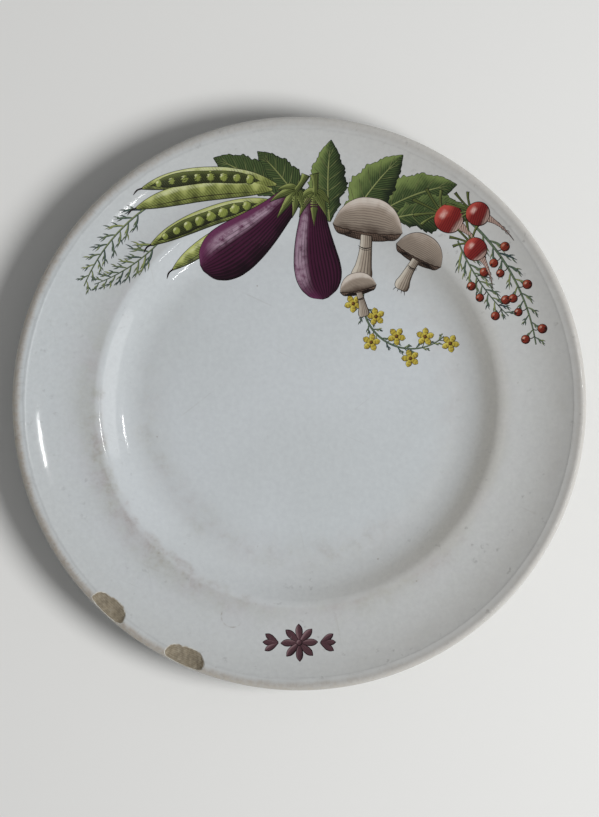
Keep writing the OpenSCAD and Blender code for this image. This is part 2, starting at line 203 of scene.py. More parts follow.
# %% [markdown]
# ## Closed surfaces from grids
# Every piece of this plate is a loop that is carried along a way: the section's rings from the
# axis outwards, and the films of enamel from one end of a motif to the other. Blender could
# loft each by hand. One function on whole arrays does it for all of them, and it closes both
# ends, so that each solid has no holes.

# %% Shells: loops joined into a closed surface
ON_AXIS, SAME_POINT = 1e-6, 1e-4


def wrapped(loops, poles=None, marks=None):
    """Closed surface over an array of loops (row, point of the loop, xyz). Each loop is joined to
    the next by four-sided faces, and the first and last are closed by a fan to a pole, which is
    the loop's middle unless given. Marks are values per point of the loops, by name."""
    rows, around = loops.shape[:2]
    poles = loops[[0, -1]].mean(axis=1) if poles is None else np.asarray(poles, float)
    spots = np.arange(rows * around).reshape(rows, around)
    ahead = np.roll(spots, -1, axis=1)
    first, last = rows * around + np.zeros((2, around), int) + [[0], [1]]
    quads = np.stack([spots[:-1], spots[1:], ahead[1:], ahead[:-1]], axis=-1).reshape(-1, 4)
    fans = np.concatenate([
        np.stack([first, spots[0], ahead[0]], axis=-1),
        np.stack([spots[-1], last, ahead[-1]], axis=-1),
    ])
    kept = {}
    for name, values in (marks or {}).items():
        values = np.broadcast_to(values, (rows, around))
        kept[name] = np.concatenate([values.ravel(), values[[0, -1]].mean(axis=1)])
    points = np.concatenate([loops.reshape(-1, 3), poles])
    return {"points": points, "quads": quads, "fans": fans, "marks": kept}


def turned(profile, turns):
    """Surface of revolution: each point (r, z) of the profile goes round to (r cos a, r sin a, z).
    The profile starts and ends on the axis, where its two ends are the poles."""
    ends = [[0, 0, profile[0, 1]], [0, 0, profile[-1, 1]]]
    line = profile[profile[:, 0] > ON_AXIS]
    apart = np.linalg.norm(np.diff(line, axis=0), axis=1) > SAME_POINT
    line = line[np.concatenate([[True], apart])]
    way = toward(np.arange(turns) * 360 / turns)
    loops = np.concatenate([
        line[:, None, :1] * way[None],
        np.broadcast_to(line[:, None, 1:], (len(line), turns, 1)),
    ], axis=-1)
    return wrapped(loops, ends)


def piece(name, shells, finish, sharp=40.0):
    """One object from a list of shells, in metres, with its place in its mesh. It shades smoothly
    except across edges that turn by more than an angle."""
    starts = np.cumsum([0] + [len(shell["points"]) for shell in shells])
    faces = []
    for shell, start in zip(shells, starts):
        faces += (shell["quads"] + start).tolist() + (shell["fans"] + start).tolist()
    mesh = bpy.data.meshes.new(name)
    mesh.from_pydata((np.concatenate([shell["points"] for shell in shells]) * MM).tolist(), [], faces)
    for mark in shells[0]["marks"]:
        values = np.concatenate([shell["marks"][mark] for shell in shells]).astype(np.float32)
        mesh.attributes.new(mark, "FLOAT", "POINT").data.foreach_set("value", values)
    mesh.materials.append(finish)
    mesh.update()
    mesh.shade_smooth()
    mesh.set_sharp_from_angle(angle=np.radians(sharp))
    made = bpy.data.objects.new(name, mesh)
    bpy.context.scene.collection.objects.link(made)
    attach(made, "root")
    print(f"{name}: {len(faces)} faces")
    return made


# %% [markdown]
# ## Shader sums as sentences
# The finishes are worked out from where a point lies: its distance from the axis, its bearing,
# and for the print its place within each motif. Wiring dozens of Math nodes by hand hides that
# sum. A small class that stands for a node's output lets each finish be written as arithmetic,
# and one method makes every other kind of node.

# %% Readings: outputs of nodes that can be added, multiplied and so on
class Reading:
    """One output of a node. Sums on readings add Math nodes."""

    def __init__(self, board, socket):
        self.board, self.socket = board, socket

    def __add__(self, other):
        return self.board.math("ADD", self, other)

    def __sub__(self, other):
        return self.board.math("SUBTRACT", self, other)

    def __rsub__(self, other):
        return self.board.math("SUBTRACT", other, self)

    def __mul__(self, other):
        return self.board.math("MULTIPLY", self, other)

    def __truediv__(self, other):
        return self.board.math("DIVIDE", self, other)

    def __rtruediv__(self, other):
        return self.board.math("DIVIDE", other, self)

    def __pow__(self, other):
        return self.board.math("POWER", self, other)

    def __rpow__(self, other):
        return self.board.math("POWER", other, self)

    def __abs__(self):
        return self.board.math("ABSOLUTE", self)

    __radd__, __rmul__ = __add__, __mul__


# %% The board that carries a finish
def solid(colour):
    """A colour with the fourth value that a colour socket wants. A reading stays as it is."""
    return colour if isinstance(colour, Reading) else (*colour, 1.0)


class Board:
    """The nodes of one material, round a Principled surface whose fixed values are set at once."""

    def __init__(self, name, fixed):
        self.material = bpy.data.materials.new(name)
        self.material.use_nodes = True
        self.tree = self.material.node_tree
        self.surface = self.tree.nodes["Principled BSDF"]
        for socket, value in fixed.items():
            self.surface.inputs[socket].default_value = value

    def node(self, kind, settings=None, values=None, out=0):
        """Adds a node: first its settings, or a ramp's stops, then the values or links of its sockets."""
        made = self.tree.nodes.new(kind)
        for key, value in (settings or {}).items():
            if key == "stops":
                ramp = made.color_ramp.elements
                while len(ramp) < len(value):
                    ramp.new(0.5)
                for stop, (place, colour) in zip(ramp, value):
                    stop.position, stop.color = place, solid(colour)
            else:
                setattr(made, key, value)
        for key, value in (values or {}).items():
            if isinstance(value, Reading):
                self.tree.links.new(value.socket, made.inputs[key])
            else:
                made.inputs[key].default_value = value
        return Reading(self, made.outputs[out])

    def math(self, operation, *values):
        """A Math node on one or two numbers or readings."""
        return self.node("ShaderNodeMath", {"operation": operation}, dict(enumerate(values)))

    def feed(self, **readings):
        """Links readings to the surface's sockets; Base_Color stands for Base Color."""
        for key, value in readings.items():
            self.tree.links.new(value.socket, self.surface.inputs[key.replace("_", " ")])
        return self.material

    def place(self):
        """The point on the object, in metres."""
        return self.node("ShaderNodeTexCoord", out="Object")

    def part(self, vector, axis):
        """One of the three parts of a vector: X, Y or Z."""
        return self.node("ShaderNodeSeparateXYZ", {}, {"Vector": vector}, axis)

    def mark(self, name):
        """A value that the piece carries at each point, by name."""
        return self.node("ShaderNodeAttribute", {"attribute_name": name}, out="Fac")

    def stretched(self, point, scale, turn):
        """A point scaled along each axis after it is turned, which draws a pattern out one way."""
        turned_point = self.node("ShaderNodeMapping", {}, {"Vector": point, "Rotation": turn})
        return self.node("ShaderNodeMapping", {}, {"Vector": turned_point, "Scale": scale})

    def cloud(self, point, scale, detail=3.0, rough=0.55):
        """Smooth noise from 0 to 1 whose lumps are about one over the scale across."""
        values = {"Vector": point, "Scale": scale, "Detail": detail, "Roughness": rough}
        return self.node("ShaderNodeTexNoise", {}, values)

    def patches(self, point, scale, low, high):
        """Ragged patches: rough noise cut between two levels."""
        return self.step(self.cloud(point, scale, 6.0, 0.62), low, high)

    def step(self, reading, low, high):
        """0 below the low value, 1 above the high one, and an S-curve between; high may be below low."""
        return self.node("ShaderNodeMapRange", {"interpolation_type": "SMOOTHSTEP"},
                         {"Value": reading, "From Min": low, "From Max": high})

    def saw(self, reading):
        """A saw line from 1 down to 0 and back once for every whole number that the reading passes."""
        return abs(self.math("FRACT", reading) * 2.0 - 1.0)

    def ramp(self, reading, stops):
        """A colour read off a row of stops."""
        return self.node("ShaderNodeValToRGB", {"stops": stops}, {"Fac": reading}, out="Color")

    def blend(self, mask, below, above, how="MIX"):
        """Two colours mixed by a mask: the first where it is 0, the second where it is 1."""
        return self.node("ShaderNodeMix", {"data_type": "RGBA", "blend_type": how, "clamp_factor": True},
                         {0: mask, 6: solid(below), 7: solid(above)}, out=2)

    def relief(self, height, distance, under=None):
        """A bump from a height of 0 to 1 that stands for a distance in metres, on a coarser one if given."""
        links = {"Height": height, "Distance": distance}
        if under is not None:
            links["Normal"] = under
        return self.node("ShaderNodeBump", {}, links)


def tint(red, green, blue):
    """A colour as seen on a screen, 0 to 255, turned into the light that it stands for."""
    seen = np.array([red, green, blue]) / 255
    return tuple(np.where(seen <= 0.04045, seen / 12.92, ((seen + 0.055) / 1.055) ** 2.4).tolist())


print("a mid grey as light:", tint(128, 128, 128))

# %% [markdown]
# ## The glaze
# On the real plate this is a clear glass over a white body, a little blue, shiny, and uneven by
# hundredths of a millimetre, so that reflections wander. Long use has stained it mauve and olive
# where the body has soaked up fat, along the ridge and round the well. The lip is brown, the
# wall's shaded side has a warm tint that is partly tea and partly painted warm shade light, the
# crease beside the lip holds dirt, and there are grey smudges, dark specks, knife marks and one
# small worn ring. A painted image could hold these marks, but sums on the distance from the axis
# and on the bearing put them where use puts them, at any size of picture.

# %% Where a point lies on the plate
class Spot:
    """Distance from the axis and way round it for the point being shaded, in millimetres, and
    whether its surface faces up."""

    def __init__(self, board):
        self.board, self.point = board, board.place()
        self.x, self.y = board.part(self.point, "X") / MM, board.part(self.point, "Y") / MM
        self.r = (self.x ** 2.0 + self.y ** 2.0) ** 0.5
        self.up = board.step(board.part(board.node("ShaderNodeNewGeometry", out="Normal"), "Z"), -0.1, 0.1)

    def ring(self, radius, half):
        """1 on a ring round the axis, falling smoothly to 0 at half its width to each side."""
        return self.board.step(abs(self.r - radius), half, 0.0)

    def sector(self, bearing, half):
        """1 at a bearing, falling smoothly to 0 at an angle to each side: the cosine between the two ways."""
        way = toward(bearing)
        cosine = (self.x * float(way[0]) + self.y * float(way[1])) / self.r
        return self.board.step(cosine, float(toward(half)[0]), 1.0)

    def level(self, base, *rises):
        """A share all round and more or less at some bearings: the base plus each rise times its sector."""
        total = base
        for more, bearing, half in rises:
            total = total + more * self.sector(bearing, half)
        return total

    def unrolled(self, around, outward):
        """The rim laid out flat as a strip: the bearing in radians and the distance from the axis in
        metres, each times its own scale, as a point for a pattern that follows the rim."""
        bearing = self.board.math("ARCTAN2", self.y, self.x)
        way = {"X": bearing * (around * PLATE_R * MM), "Y": self.r * (outward * MM)}
        return self.board.node("ShaderNodeCombineXYZ", {}, way)

    def rub(self, middle, radius, bearing):
        """A thin worn arc: 1 on a small circle round a point of the plan, fading away from a bearing."""
        x, y = self.x - middle[0], self.y - middle[1]
        away = (x ** 2.0 + y ** 2.0) ** 0.5
        way = toward(bearing)
        facing = (x * float(way[0]) + y * float(way[1])) / (away + 0.01)
        return self.board.step(abs(away - radius), 0.5, 0.1) * self.board.step(facing, -0.1, 0.5)


# %% Colours of the glaze and of its age, and where the age lies
GLAZE_WHITE, GLAZE_GREY = tint(198, 203, 206), tint(193, 198, 200)
GLAZE_RIM, GLAZE_WARM = tint(186, 191, 193), tint(193, 193, 190)
BODY_STAIN, OLIVE_STAIN = tint(148, 136, 132), tint(140, 134, 116)
OLD_STAIN, CREASE_DIRT = tint(122, 108, 92), tint(92, 88, 86)
# The wall's warm tint is partly a tea stain and partly painted warm light on the wall's shaded side
WALL_TEA_AND_WARM_SHADE, LIP_STAIN, EDGE_STAIN = tint(190, 180, 160), tint(136, 112, 80), tint(192, 174, 146)
# Grain darkens what lies under it: its light in the troughs and on the crests of a cloud
GRAIN_TONES = [(0.3, (0.92, 0.92, 0.925)), (0.7, (1.0, 1.0, 1.0))]
# Sectors that have aged most, and the wall's shaded side with its tea stain and painted warm shade light, as
# a bearing and an angle to each side
OLD_SECTOR, WORN_SECTOR, SHADED_TEA_SECTOR = (352.0, 160.0), (195.0, 125.0), (345.0, 85.0)
# Rises: how much more at which bearing and within which angle. A level starts with a share all round
YELLOWED_RISES = ((0.3, 90.0, 70.0), (0.2, 222.0, 45.0))
RIDGE_LEVEL = (0.06, (0.47, 212.0, 60.0), (0.3, 300.0, 30.0))
FILM_LEVEL = (0.19, (-0.12, 345.0, 110.0))
WALL_LEVEL = (0.03, (0.07, *SHADED_TEA_SECTOR))
WELL_LEVEL = (0.1, (0.22, 225.0, 70.0), (0.22, 290.0, 24.0), (0.12, 20.0, 50.0))
CREASE_LEVEL = (0.04, (0.06, 200.0, 110.0))
# Knife marks: the way they run in degrees, and their lines to the metre
KNIFE_MARKS = ((25.0, 900.0), (-38.0, 1100.0), (80.0, 800.0))
RING_MARK_AT, RING_MARK_R, RING_MARK_BEARING = (-30.4, -96.6), 5.0, 240.0
# Relief in metres: slow waves of the glaze, its orange peel, and pits at the specks
WAVE_H, PEEL_H, PIT_H = 0.0003, 0.00002, 0.00005
print("clean glaze as light:", GLAZE_WHITE)


# %% Masks of the glaze's age
def glaze_wash(spot):
    """The clean glaze: soft cloud between near whites, warmer on the old side, greyer on the rim."""
    board = spot.board
    cloudy = board.step(board.cloud(spot.point, 14.0, 2.0), 0.3, 0.7)
    colour = board.blend(cloudy, GLAZE_WHITE, GLAZE_GREY)
    old_side = spot.sector(*OLD_SECTOR)
    rim_tone = board.blend(spot.level(old_side, *YELLOWED_RISES), GLAZE_RIM, GLAZE_WARM)
    colour = board.blend(board.step(spot.r, 60.0, 84.0) * old_side * 0.6, colour, GLAZE_WARM)
    colour = board.blend(board.step(spot.r, 98.0, 124.0), colour, rim_tone)
    # Painted warm shade light, partly a tea stain: a warm tint on the shaded right side of the wall
    return board.blend(spot.ring(88.0, 10.0) * spot.sector(*SHADED_TEA_SECTOR) * 0.3, colour, WALL_TEA_AND_WARM_SHADE)


def soaked(spot, mottle, fine, ragged):
    """Where the body has soaked up fat: the ridge, a film outwards from it, the wall and the well, all
    on the face, then the rim, and a ring round the foot on the back."""
    board, outwards = spot.board, spot.r
    creep = 5.0 * board.cloud(spot.point, 42.0, 3.0) + 1.6 * mottle + 3.0 * spot.sector(215.0, 80.0)
    ridge = board.step(outwards + creep, 94.2, 97.4) * board.step(outwards, 105.0, 93.5)
    film = board.step(outwards, 91.8, 93.8) * board.step(outwards, 116.0, 94.0)
    wall = spot.ring(90.5, 8.0) * spot.level(*WALL_LEVEL) * (0.85 + 0.15 * ragged)
    well = spot.ring(69.0, 13.0) * spot.level(*WELL_LEVEL) * ragged
    on_face = ridge * spot.level(*RIDGE_LEVEL) * ragged + film * spot.level(*FILM_LEVEL) + wall + well
    rim = spot.ring(121.0, 12.0) * spot.sector(345.0, 90.0) * (0.01 + 0.08 * mottle)
    rim = rim + spot.ring(112.0, 22.0) * fine * 0.05
    foot = (1.0 - spot.up) * spot.ring(FOOT_R + 4.5, 7.0) * (0.12 + 0.5 * mottle)
    return on_face * spot.up + rim + foot


def browned(spot, worn_side, mottle, fine):
    """The lip's brown, ragged on its inner side and strongest where the lip is worn."""
    ragged_r = spot.r - 0.7 * worn_side + 0.7 * mottle
    return spot.board.step(ragged_r, 125.2, 127.8) * (0.15 + 0.43 * worn_side) * (0.6 + 0.4 * fine)


def lip_dirt(spot, worn_side, mottle, fine):
    """Dirt in the crease, and short ticks of it across the band."""
    board = spot.board
    ticks = board.step(board.cloud(spot.unrolled(1150.0, 160.0), 1.0, 2.0), 0.56, 0.7) * spot.ring(127.0, 2.6)
    crease_line = crease_r + 0.1 + 0.7 * spot.sector(190.0, 120.0) + 0.5 * mottle
    in_crease = spot.ring(crease_line, 0.9) * spot.up * (spot.level(*CREASE_LEVEL) + 0.16 * mottle * fine)
    return in_crease + 0.14 * ticks * (0.3 + worn_side)


def specks(board, point):
    """Dark specks: a dot in the middle of one cell in six of a Voronoi pattern."""
    cell = {"Vector": point, "Scale": 110.0}
    away = board.node("ShaderNodeTexVoronoi", {}, cell, out="Distance")
    draw = board.node("ShaderNodeTexVoronoi", {}, cell, out="Color")
    picked = board.step(board.node("ShaderNodeSeparateColor", {}, {"Color": draw}), 0.8, 0.88)
    return board.step(away, 0.055, 0.02) * picked


def smudges(spot):
    """Small grey smudges in loose groups, out from the middle of the well."""
    board, point = spot.board, spot.point
    small = board.step(board.cloud(point, 270.0, 1.0), 0.66, 0.74) * board.patches(point, 800.0, 0.4, 0.56)
    return small * board.patches(point, 48.0, 0.46, 0.56) * board.step(spot.r, 62.0, 92.0)


def knife_marks(board, point):
    """Fine cuts: noise drawn out along each way, cut at a high level and kept to patches."""
    marks = 0.0
    for way, lines in KNIFE_MARKS:
        drawn_out = board.stretched(point, (14.0, lines, 14.0), (0.0, 0.0, float(np.radians(way))))
        cuts = board.step(board.cloud(drawn_out, 1.0, 1.0), 0.7, 0.76)
        marks = cuts * board.patches(point, 55.0, 0.52, 0.62) + marks
    return marks


# %% Glaze finish
def old_glaze(name, wear=1.0):
    """White glaze with its age laid over it, colour by colour, each by its own mask. Wear is how
    much of the age this piece has. Where it is stained or cut it is also less smooth."""
    board = Board(name, {"IOR": 1.5, "Specular IOR Level": 0.5})
    spot = Spot(board)
    point = spot.point
    old_side, worn_side = spot.sector(*OLD_SECTOR), spot.sector(*WORN_SECTOR)
    mottle, fine = board.patches(point, 120.0, 0.4, 0.66), board.patches(point, 520.0, 0.36, 0.7)
    ragged = (0.35 + 0.65 * mottle) * (0.5 + 0.5 * fine)
    stain = soaked(spot, mottle, fine, ragged) * wear
    stain_tone = board.blend(board.step(board.cloud(point, 75.0, 2.0), 0.4, 0.6), BODY_STAIN, OLIVE_STAIN)
    colour = board.blend(stain, glaze_wash(spot), stain_tone)
    lip_brown = browned(spot, worn_side, mottle, fine)
    lip_tone = board.blend(board.step(spot.r, 128.0, 129.6), LIP_STAIN, EDGE_STAIN)
    colour = board.blend(lip_brown * wear, colour, lip_tone)
    grime = spot.ring(126.6, 3.4) * (0.13 - 0.11 * worn_side)
    colour = board.blend(grime * wear, colour, CREASE_DIRT)
    colour = board.blend(lip_dirt(spot, worn_side, mottle, fine) * wear, colour, CREASE_DIRT)
    grain = board.ramp(board.cloud(point, 480.0, 4.0, 0.65), GRAIN_TONES)
    colour = board.blend(1.0, colour, grain, "MULTIPLY")
    speck = specks(board, point)
    colour = board.blend(speck * 0.5 * wear, colour, OLD_STAIN)
    colour = board.blend(smudges(spot) * (0.16 + 0.14 * old_side) * wear, colour, CREASE_DIRT)
    cuts = knife_marks(board, point)
    ring_mark = spot.rub(RING_MARK_AT, RING_MARK_R, RING_MARK_BEARING) * 0.7 * fine * (0.3 + 0.7 * mottle)
    colour = board.blend((cuts * 0.1 + ring_mark) * wear, colour, OLD_STAIN)
    rough = 0.07 + 0.14 * stain + 0.14 * lip_brown + 0.1 * cuts + 0.03 * board.cloud(point, 60.0)
    wave = board.relief(board.cloud(point, 26.0, 1.0), WAVE_H)
    peel = board.relief(board.cloud(point, 230.0, 2.0), PEEL_H, wave)
    return board.feed(Base_Color=colour, Roughness=rough, Normal=board.relief(1.0 - speck, PIT_H, peel))


glaze = old_glaze("old_glaze")
print("glaze nodes:", len(glaze.node_tree.nodes))

# %% [markdown]
# ## Bare clay and broken clay
# The tread of the foot was wiped before the glaze firing, so it shows the biscuit: matt, porous
# and grubby. The two chips break through the glaze into the same clay. It breaks in shallow
# shells with fine ripples, as pale grit, and brown has soaked into it since.

# %% Biscuit, fracture and glaze edge finishes
def biscuit_finish():
    """Matt clay: sandy cloud, dark pores and grime."""
    board = Board("biscuit_clay", {"Specular IOR Level": 0.25})
    point = board.place()
    sand = board.cloud(point, 300.0, 5.0, 0.7)
    colour = board.ramp(sand, [
        (0.25, tint(150, 140, 122)), (0.5, tint(186, 177, 158)), (0.8, tint(206, 199, 184)),
    ])
    grime = board.patches(point, 50.0, 0.45, 0.75)
    colour = board.blend(grime * 0.5, colour, tint(128, 112, 92))
    bump = board.relief(board.cloud(point, 900.0, 4.0, 0.7), 0.00012)
    return board.feed(Base_Color=colour, Roughness=0.82 + 0.12 * sand, Normal=bump)


def fracture_finish():
    """Broken clay: grit, brown patches that have soaked in, and ripples, which are a sine wave on the
    distance from the axis, bent by cloud."""
    board = Board("broken_clay", {"Specular IOR Level": 0.3})
    spot = Spot(board)
    point, ripple_gap = spot.point, 0.85
    grit = board.cloud(point, 520.0, 5.0, 0.68)
    bent = spot.r + 2.4 * board.cloud(point, 90.0, 2.0)
    ripple = board.math("SINE", bent * (2 * np.pi / ripple_gap)) * 0.5 + 0.5
    colour = board.ramp(grit, [
        (0.28, tint(112, 104, 91)), (0.5, tint(140, 131, 115)), (0.72, tint(160, 152, 137)),
    ])
    brown = board.patches(point, 160.0, 0.4, 0.7)
    colour = board.blend(brown * 0.5, colour, tint(132, 120, 100))
    colour = board.blend(ripple * 0.34, colour, tint(104, 95, 74))
    bump = board.relief(board.cloud(point, 700.0, 5.0, 0.7), 0.00022, board.relief(ripple, 0.00008))
    return board.feed(Base_Color=colour, Roughness=0.7 + 0.2 * grit, Normal=bump)


def glaze_edge_finish():
    """The broken edge of the glaze: a glassy grey line, dirty in places."""
    board = Board("broken_glaze", {"IOR": 1.5})
    dirt = board.patches(board.place(), 300.0, 0.4, 0.7)
    colour = board.blend(dirt, tint(196, 196, 190), tint(140, 128, 112))
    return board.feed(Base_Color=colour, Roughness=0.2 + 0.3 * dirt)


biscuit, fracture, glaze_edge = biscuit_finish(), fracture_finish(), glaze_edge_finish()
print("clay finishes:", biscuit.name, fracture.name, glaze_edge.name)

# %% [markdown]
# ## Chips and kiln scars
# The chips could be sculpted, but a break is a cut: a lumpy ball is taken away from the lip with
# an exact Boolean, so the rim of the chip is as sharp as it is in fired clay. Two balls make
# each chip, the blow and the flake that ran on from it. They are stretched along the rim and
# squared off, because the real chips are longer than they are wide and blunt at their ends.
# Three small balls do the same for the scars of the kiln pins under the rim.

# %% Lumpy balls that cut
# Each chip's bearing in degrees, and its depth under the lip's top
CHIPS = [(227.4, 2.6), (246.1, 2.9)]
BLOW_R, FLAKE_R, FLAKE_RISE, CHIP_LEAN = 10.0, 8.0, 0.3, 14.0
CHIP_ROUGH, CHIP_RIPPLE, CHIP_BOXY = 0.13, 0.01, 3.2
BLOW_SEEDS, FLAKE_SEEDS, PIN_SEEDS = (3, 8), (5, 12), (20, 21, 22)
PIN_BEARINGS, PIN_ROUGH = (90.0, 210.0, 330.0), 0.1
SCAR_DEPTH, SCAR_D, SCAR_OUT_SHARE = 0.6, 2.2, 0.86
# Lumps: their size, how many octaves, how much finer and lower each is, and what the sum is divided by
LUMP_L, OCTAVES, FINER, LOWER, LUMP_SUM = 3.2, 6, 1.6, 1.45, 2.5
# Where the blow fell, in shares of the ball's radius from its middle, and the gap of its ripples
BLOW_POINT, RIPPLE_L = np.array([0.25, 0.1, -1.0]), 1.7
TINY = 1e-9


def lumps(points, seed):
    """Uneven ground, about -1 to 1: sine waves in random directions, each finer and lower than the last."""
    rng = np.random.default_rng(seed)
    total = np.zeros(points.shape[:-1])
    for octave in range(OCTAVES):
        way = rng.normal(size=3)
        way *= 2 * np.pi * FINER ** octave / (LUMP_L * np.linalg.norm(way))
        total += np.sin(points @ way + rng.uniform(0, 6.28)) / LOWER ** octave
    return total / LUMP_SUM


def ball(centre, radius, seed, around, rough, ripple=0.0, long=1.0, boxy=2.0):
    """A ball by latitude and longitude whose radius is worn by lumps and by ripples round the blow.
    Seen from above it bulges towards a rounded box: a level direction with shares a and b along and
    across the rim is drawn out by one over the root of a and b to the boxy power, added. It is
    stretched along the rim, and the poles lie level, away from the cut."""
    rows = toward(np.linspace(0, 180, around // 2)[1:-1])[:, None]
    rounds = toward(np.arange(around) * 360 / around)[None]
    level, upright = rows[..., 1] * rounds[..., 0], rows[..., 1] * rounds[..., 1]
    way = np.stack(np.broadcast_arrays(rows[..., 0], level, upright), -1)
    along = np.array([-centre[1], centre[0], 0.0]) / np.hypot(*centre[:2])
    share = abs(way @ along) / np.maximum(np.linalg.norm(way[..., :2], axis=-1), TINY)
    corner = (share ** boxy + np.sqrt(np.clip(1 - share ** 2, 0, 1)) ** boxy) ** (-1 / boxy)
    way = way * np.stack([corner, corner, np.ones_like(corner)], -1)
    way = way + (long - 1) * (way @ along)[..., None] * along
    surface = centre + radius * way
    far = np.linalg.norm(surface - (centre + radius * BLOW_POINT), axis=-1)
    worn = rough * lumps(surface, seed) + ripple * np.sin(far * 2 * np.pi / RIPPLE_L)
    ends = np.array([[1.0, 0, 0], [-1.0, 0, 0]])
    poles = centre + radius * (ends + (long - 1) * (ends @ along)[:, None] * along)
    return wrapped(surface + worn[..., None] * way, poles)


def chip_centre(bearing, in_share, radius, depth):
    """Middle of a chip's ball: above the lip by its radius less its depth, leaning to the axis."""
    lift = radius - depth
    out = PLATE_R * (1 - in_share) - lift * rise(CHIP_LEAN)
    return np.array([*(out * toward(bearing)), lip_top + lift * toward(CHIP_LEAN)[0]])


def chip_balls(radius, turn, in_share, rise_by, seeds, around, long):
    """A ball for each chip, turned from the chip's bearing and raised from its depth."""
    return [
        ball(chip_centre(bearing + turn, in_share, radius, depth - rise_by), radius, seed, around,
             CHIP_ROUGH, CHIP_RIPPLE, long, CHIP_BOXY)
        for (bearing, depth), seed in zip(CHIPS, seeds)
    ]


def scar_centre(bearing):
    """Middle of a pin scar's ball, sunk by its depth into the back of the rim, and the ball's radius."""
    radius = (SCAR_D ** 2 / 4 + SCAR_DEPTH ** 2) / (2 * SCAR_DEPTH)
    out = PLATE_R * SCAR_OUT_SHARE
    height = rim_c[1] - np.sqrt(back_r ** 2 - (out - rim_c[0]) ** 2) + SCAR_DEPTH - radius
    return np.array([*(out * toward(bearing)), height]), radius


blows = chip_balls(BLOW_R, 0.3, 0.034, 0.0, BLOW_SEEDS, 220, 1.18)
flakes = chip_balls(FLAKE_R, -1.8, 0.031, FLAKE_RISE, FLAKE_SEEDS, 180, 1.12)
scars = [ball(*scar_centre(bearing), seed, 40, PIN_ROUGH) for bearing, seed in zip(PIN_BEARINGS, PIN_SEEDS)]
print("balls that cut:", len(blows), "blows,", len(flakes), "flakes and", len(scars), "pin scars")


# %% Cutting them out
CUTS = (blows + scars, flakes)
# The angle in degrees past which an edge of the clay and the glaze is sharp
CLAY_SHARP = 30.0


def broken(target, broken_finish):
    """Takes the balls out of a piece with exact Booleans and keeps the result as its mesh."""
    cutters = [piece(f"cutter_{i}", shells, broken_finish) for i, shells in enumerate(CUTS)]
    for cutter in cutters:
        cut = target.modifiers.new("chip", "BOOLEAN")
        cut.operation, cut.solver, cut.object = "DIFFERENCE", "EXACT", cutter
        cut.material_mode = "TRANSFER"
    kept = bpy.data.meshes.new_from_object(target.evaluated_get(bpy.context.evaluated_depsgraph_get()))
    target.modifiers.clear()
    target.data = kept
    kept.set_sharp_from_angle(angle=np.radians(CLAY_SHARP))
    for cutter in cutters:
        bpy.data.objects.remove(cutter)
    finishes = [finish.name for finish in kept.materials]
    print(target.name, "after the chips:", len(kept.polygons), "faces,", finishes)
    return target


# %% [markdown]
# ## Body and glaze
# The clay lies under an even coat of glaze, and both are turned from the section. The coat is a
# closed shell, as in the CAD, so the chips show its thickness as a thin pale line round the
# brown clay. The recess inside the foot ring has its own coat.

# %% Turned pieces
# Steps round the axis, and the shares of the section's steps for the clay and the glaze's under side
TURNS, BODY_FINE, UNDERSIDE_FINE = 288, 0.6, 0.35
RECESS_WEAR = 0.8
body_line = np.concatenate([skin(GLAZE_T, BODY_FINE), tread, recess(GLAZE_T)[::-1]])
coat_line = np.concatenate([skin(0), skin(GLAZE_T, UNDERSIDE_FINE)[::-1]])
foot_coat_line = np.concatenate([recess(GLAZE_T), recess(0)[::-1]])
body = piece("clay_body", [turned(body_line, TURNS)], biscuit, CLAY_SHARP)
coat = piece("glaze_coat", [turned(coat_line, TURNS)], glaze, CLAY_SHARP)
foot_glaze = old_glaze("foot_recess_glaze", RECESS_WEAR)
foot_coat = piece("foot_recess_glaze", [turned(foot_coat_line, TURNS)], foot_glaze, CLAY_SHARP)
BROKEN = ((body, "biscuit_body", "biscuit", fracture), (coat, "outer_glaze", "glaze", glaze_edge))
for made, node, slot_name, edge in BROKEN:
    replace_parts(broken(made, edge), node)
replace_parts(foot_coat, "recess_glaze")

# %% [markdown]
# ## The print as films of enamel
# A spray like this is printed from an engraved copper plate in dark line, and then washed in
# with coloured enamels. Each colour is a thin film on the glaze. An image would be the usual
# way to put it on a plate in Blender. Here each motif is a real film, drawn in plan along a
# bending middle line as in the CAD, and laid on the face by reading the face's height under
# every point. What lies in front sits a few hundredths of a millimetre higher.

# %% Places, curves and the face's height
# How far a film is sunk into the glaze, and the distance from its edge over which it swells
SINK, SWELL_W = 0.05, 0.8
# A leaf's tooth: its length, and where along it the plain edge lies
TOOTH_L, TOOTH_MIDDLE = 2.6, 0.6
LEAST_SHARE, LINE_CROWN = 0.01, 0.004
DRAWN_LIGHT, DRAWN_ASIDE = toward(142.0), toward(232.0)
# Heights over the glaze, from what lies behind to what lies in front
NEEDLE_Z, VINE_Z, FROND_Z, ROSE_Z, HAIR_Z, LEAF_Z = 0.018, 0.02, 0.024, 0.03, 0.03, 0.036
PETAL_Z, STALK_Z, ROOT_HAIR_Z, CURRANT_Z, HEART_Z, POD_Z = 0.04, 0.04, 0.05, 0.062, 0.066, 0.075
RADISH_Z, MUSHROOM_Z, AUBERGINE_Z, SEPAL_Z, STUB_Z = 0.092, 0.098, 0.12, 0.142, 0.146
# How much higher each motif of a kind lies than the one before
STEP_Z = 0.006


def smooth(at, spots, values):
    """A curve through given points: between two of them, a cubic that keeps their mean slopes."""
    spots, values = np.asarray(spots, float), np.asarray(values, float)
    slopes = np.gradient(values, spots)
    left = np.clip(np.searchsorted(spots, at, side="right") - 1, 0, len(spots) - 2)
    wide = spots[left + 1] - spots[left]
    share = (at - spots[left]) / wide
    return (values[left] * (2 * share ** 3 - 3 * share ** 2 + 1)
            + values[left + 1] * (3 * share ** 2 - 2 * share ** 3)
            + slopes[left] * wide * (share ** 3 - 2 * share ** 2 + share)
            + slopes[left + 1] * wide * (share ** 3 - share ** 2))


def curve(shares, at):
    """A table of pairs read as a smooth curve."""
    return smooth(at, *np.array(shares).T)


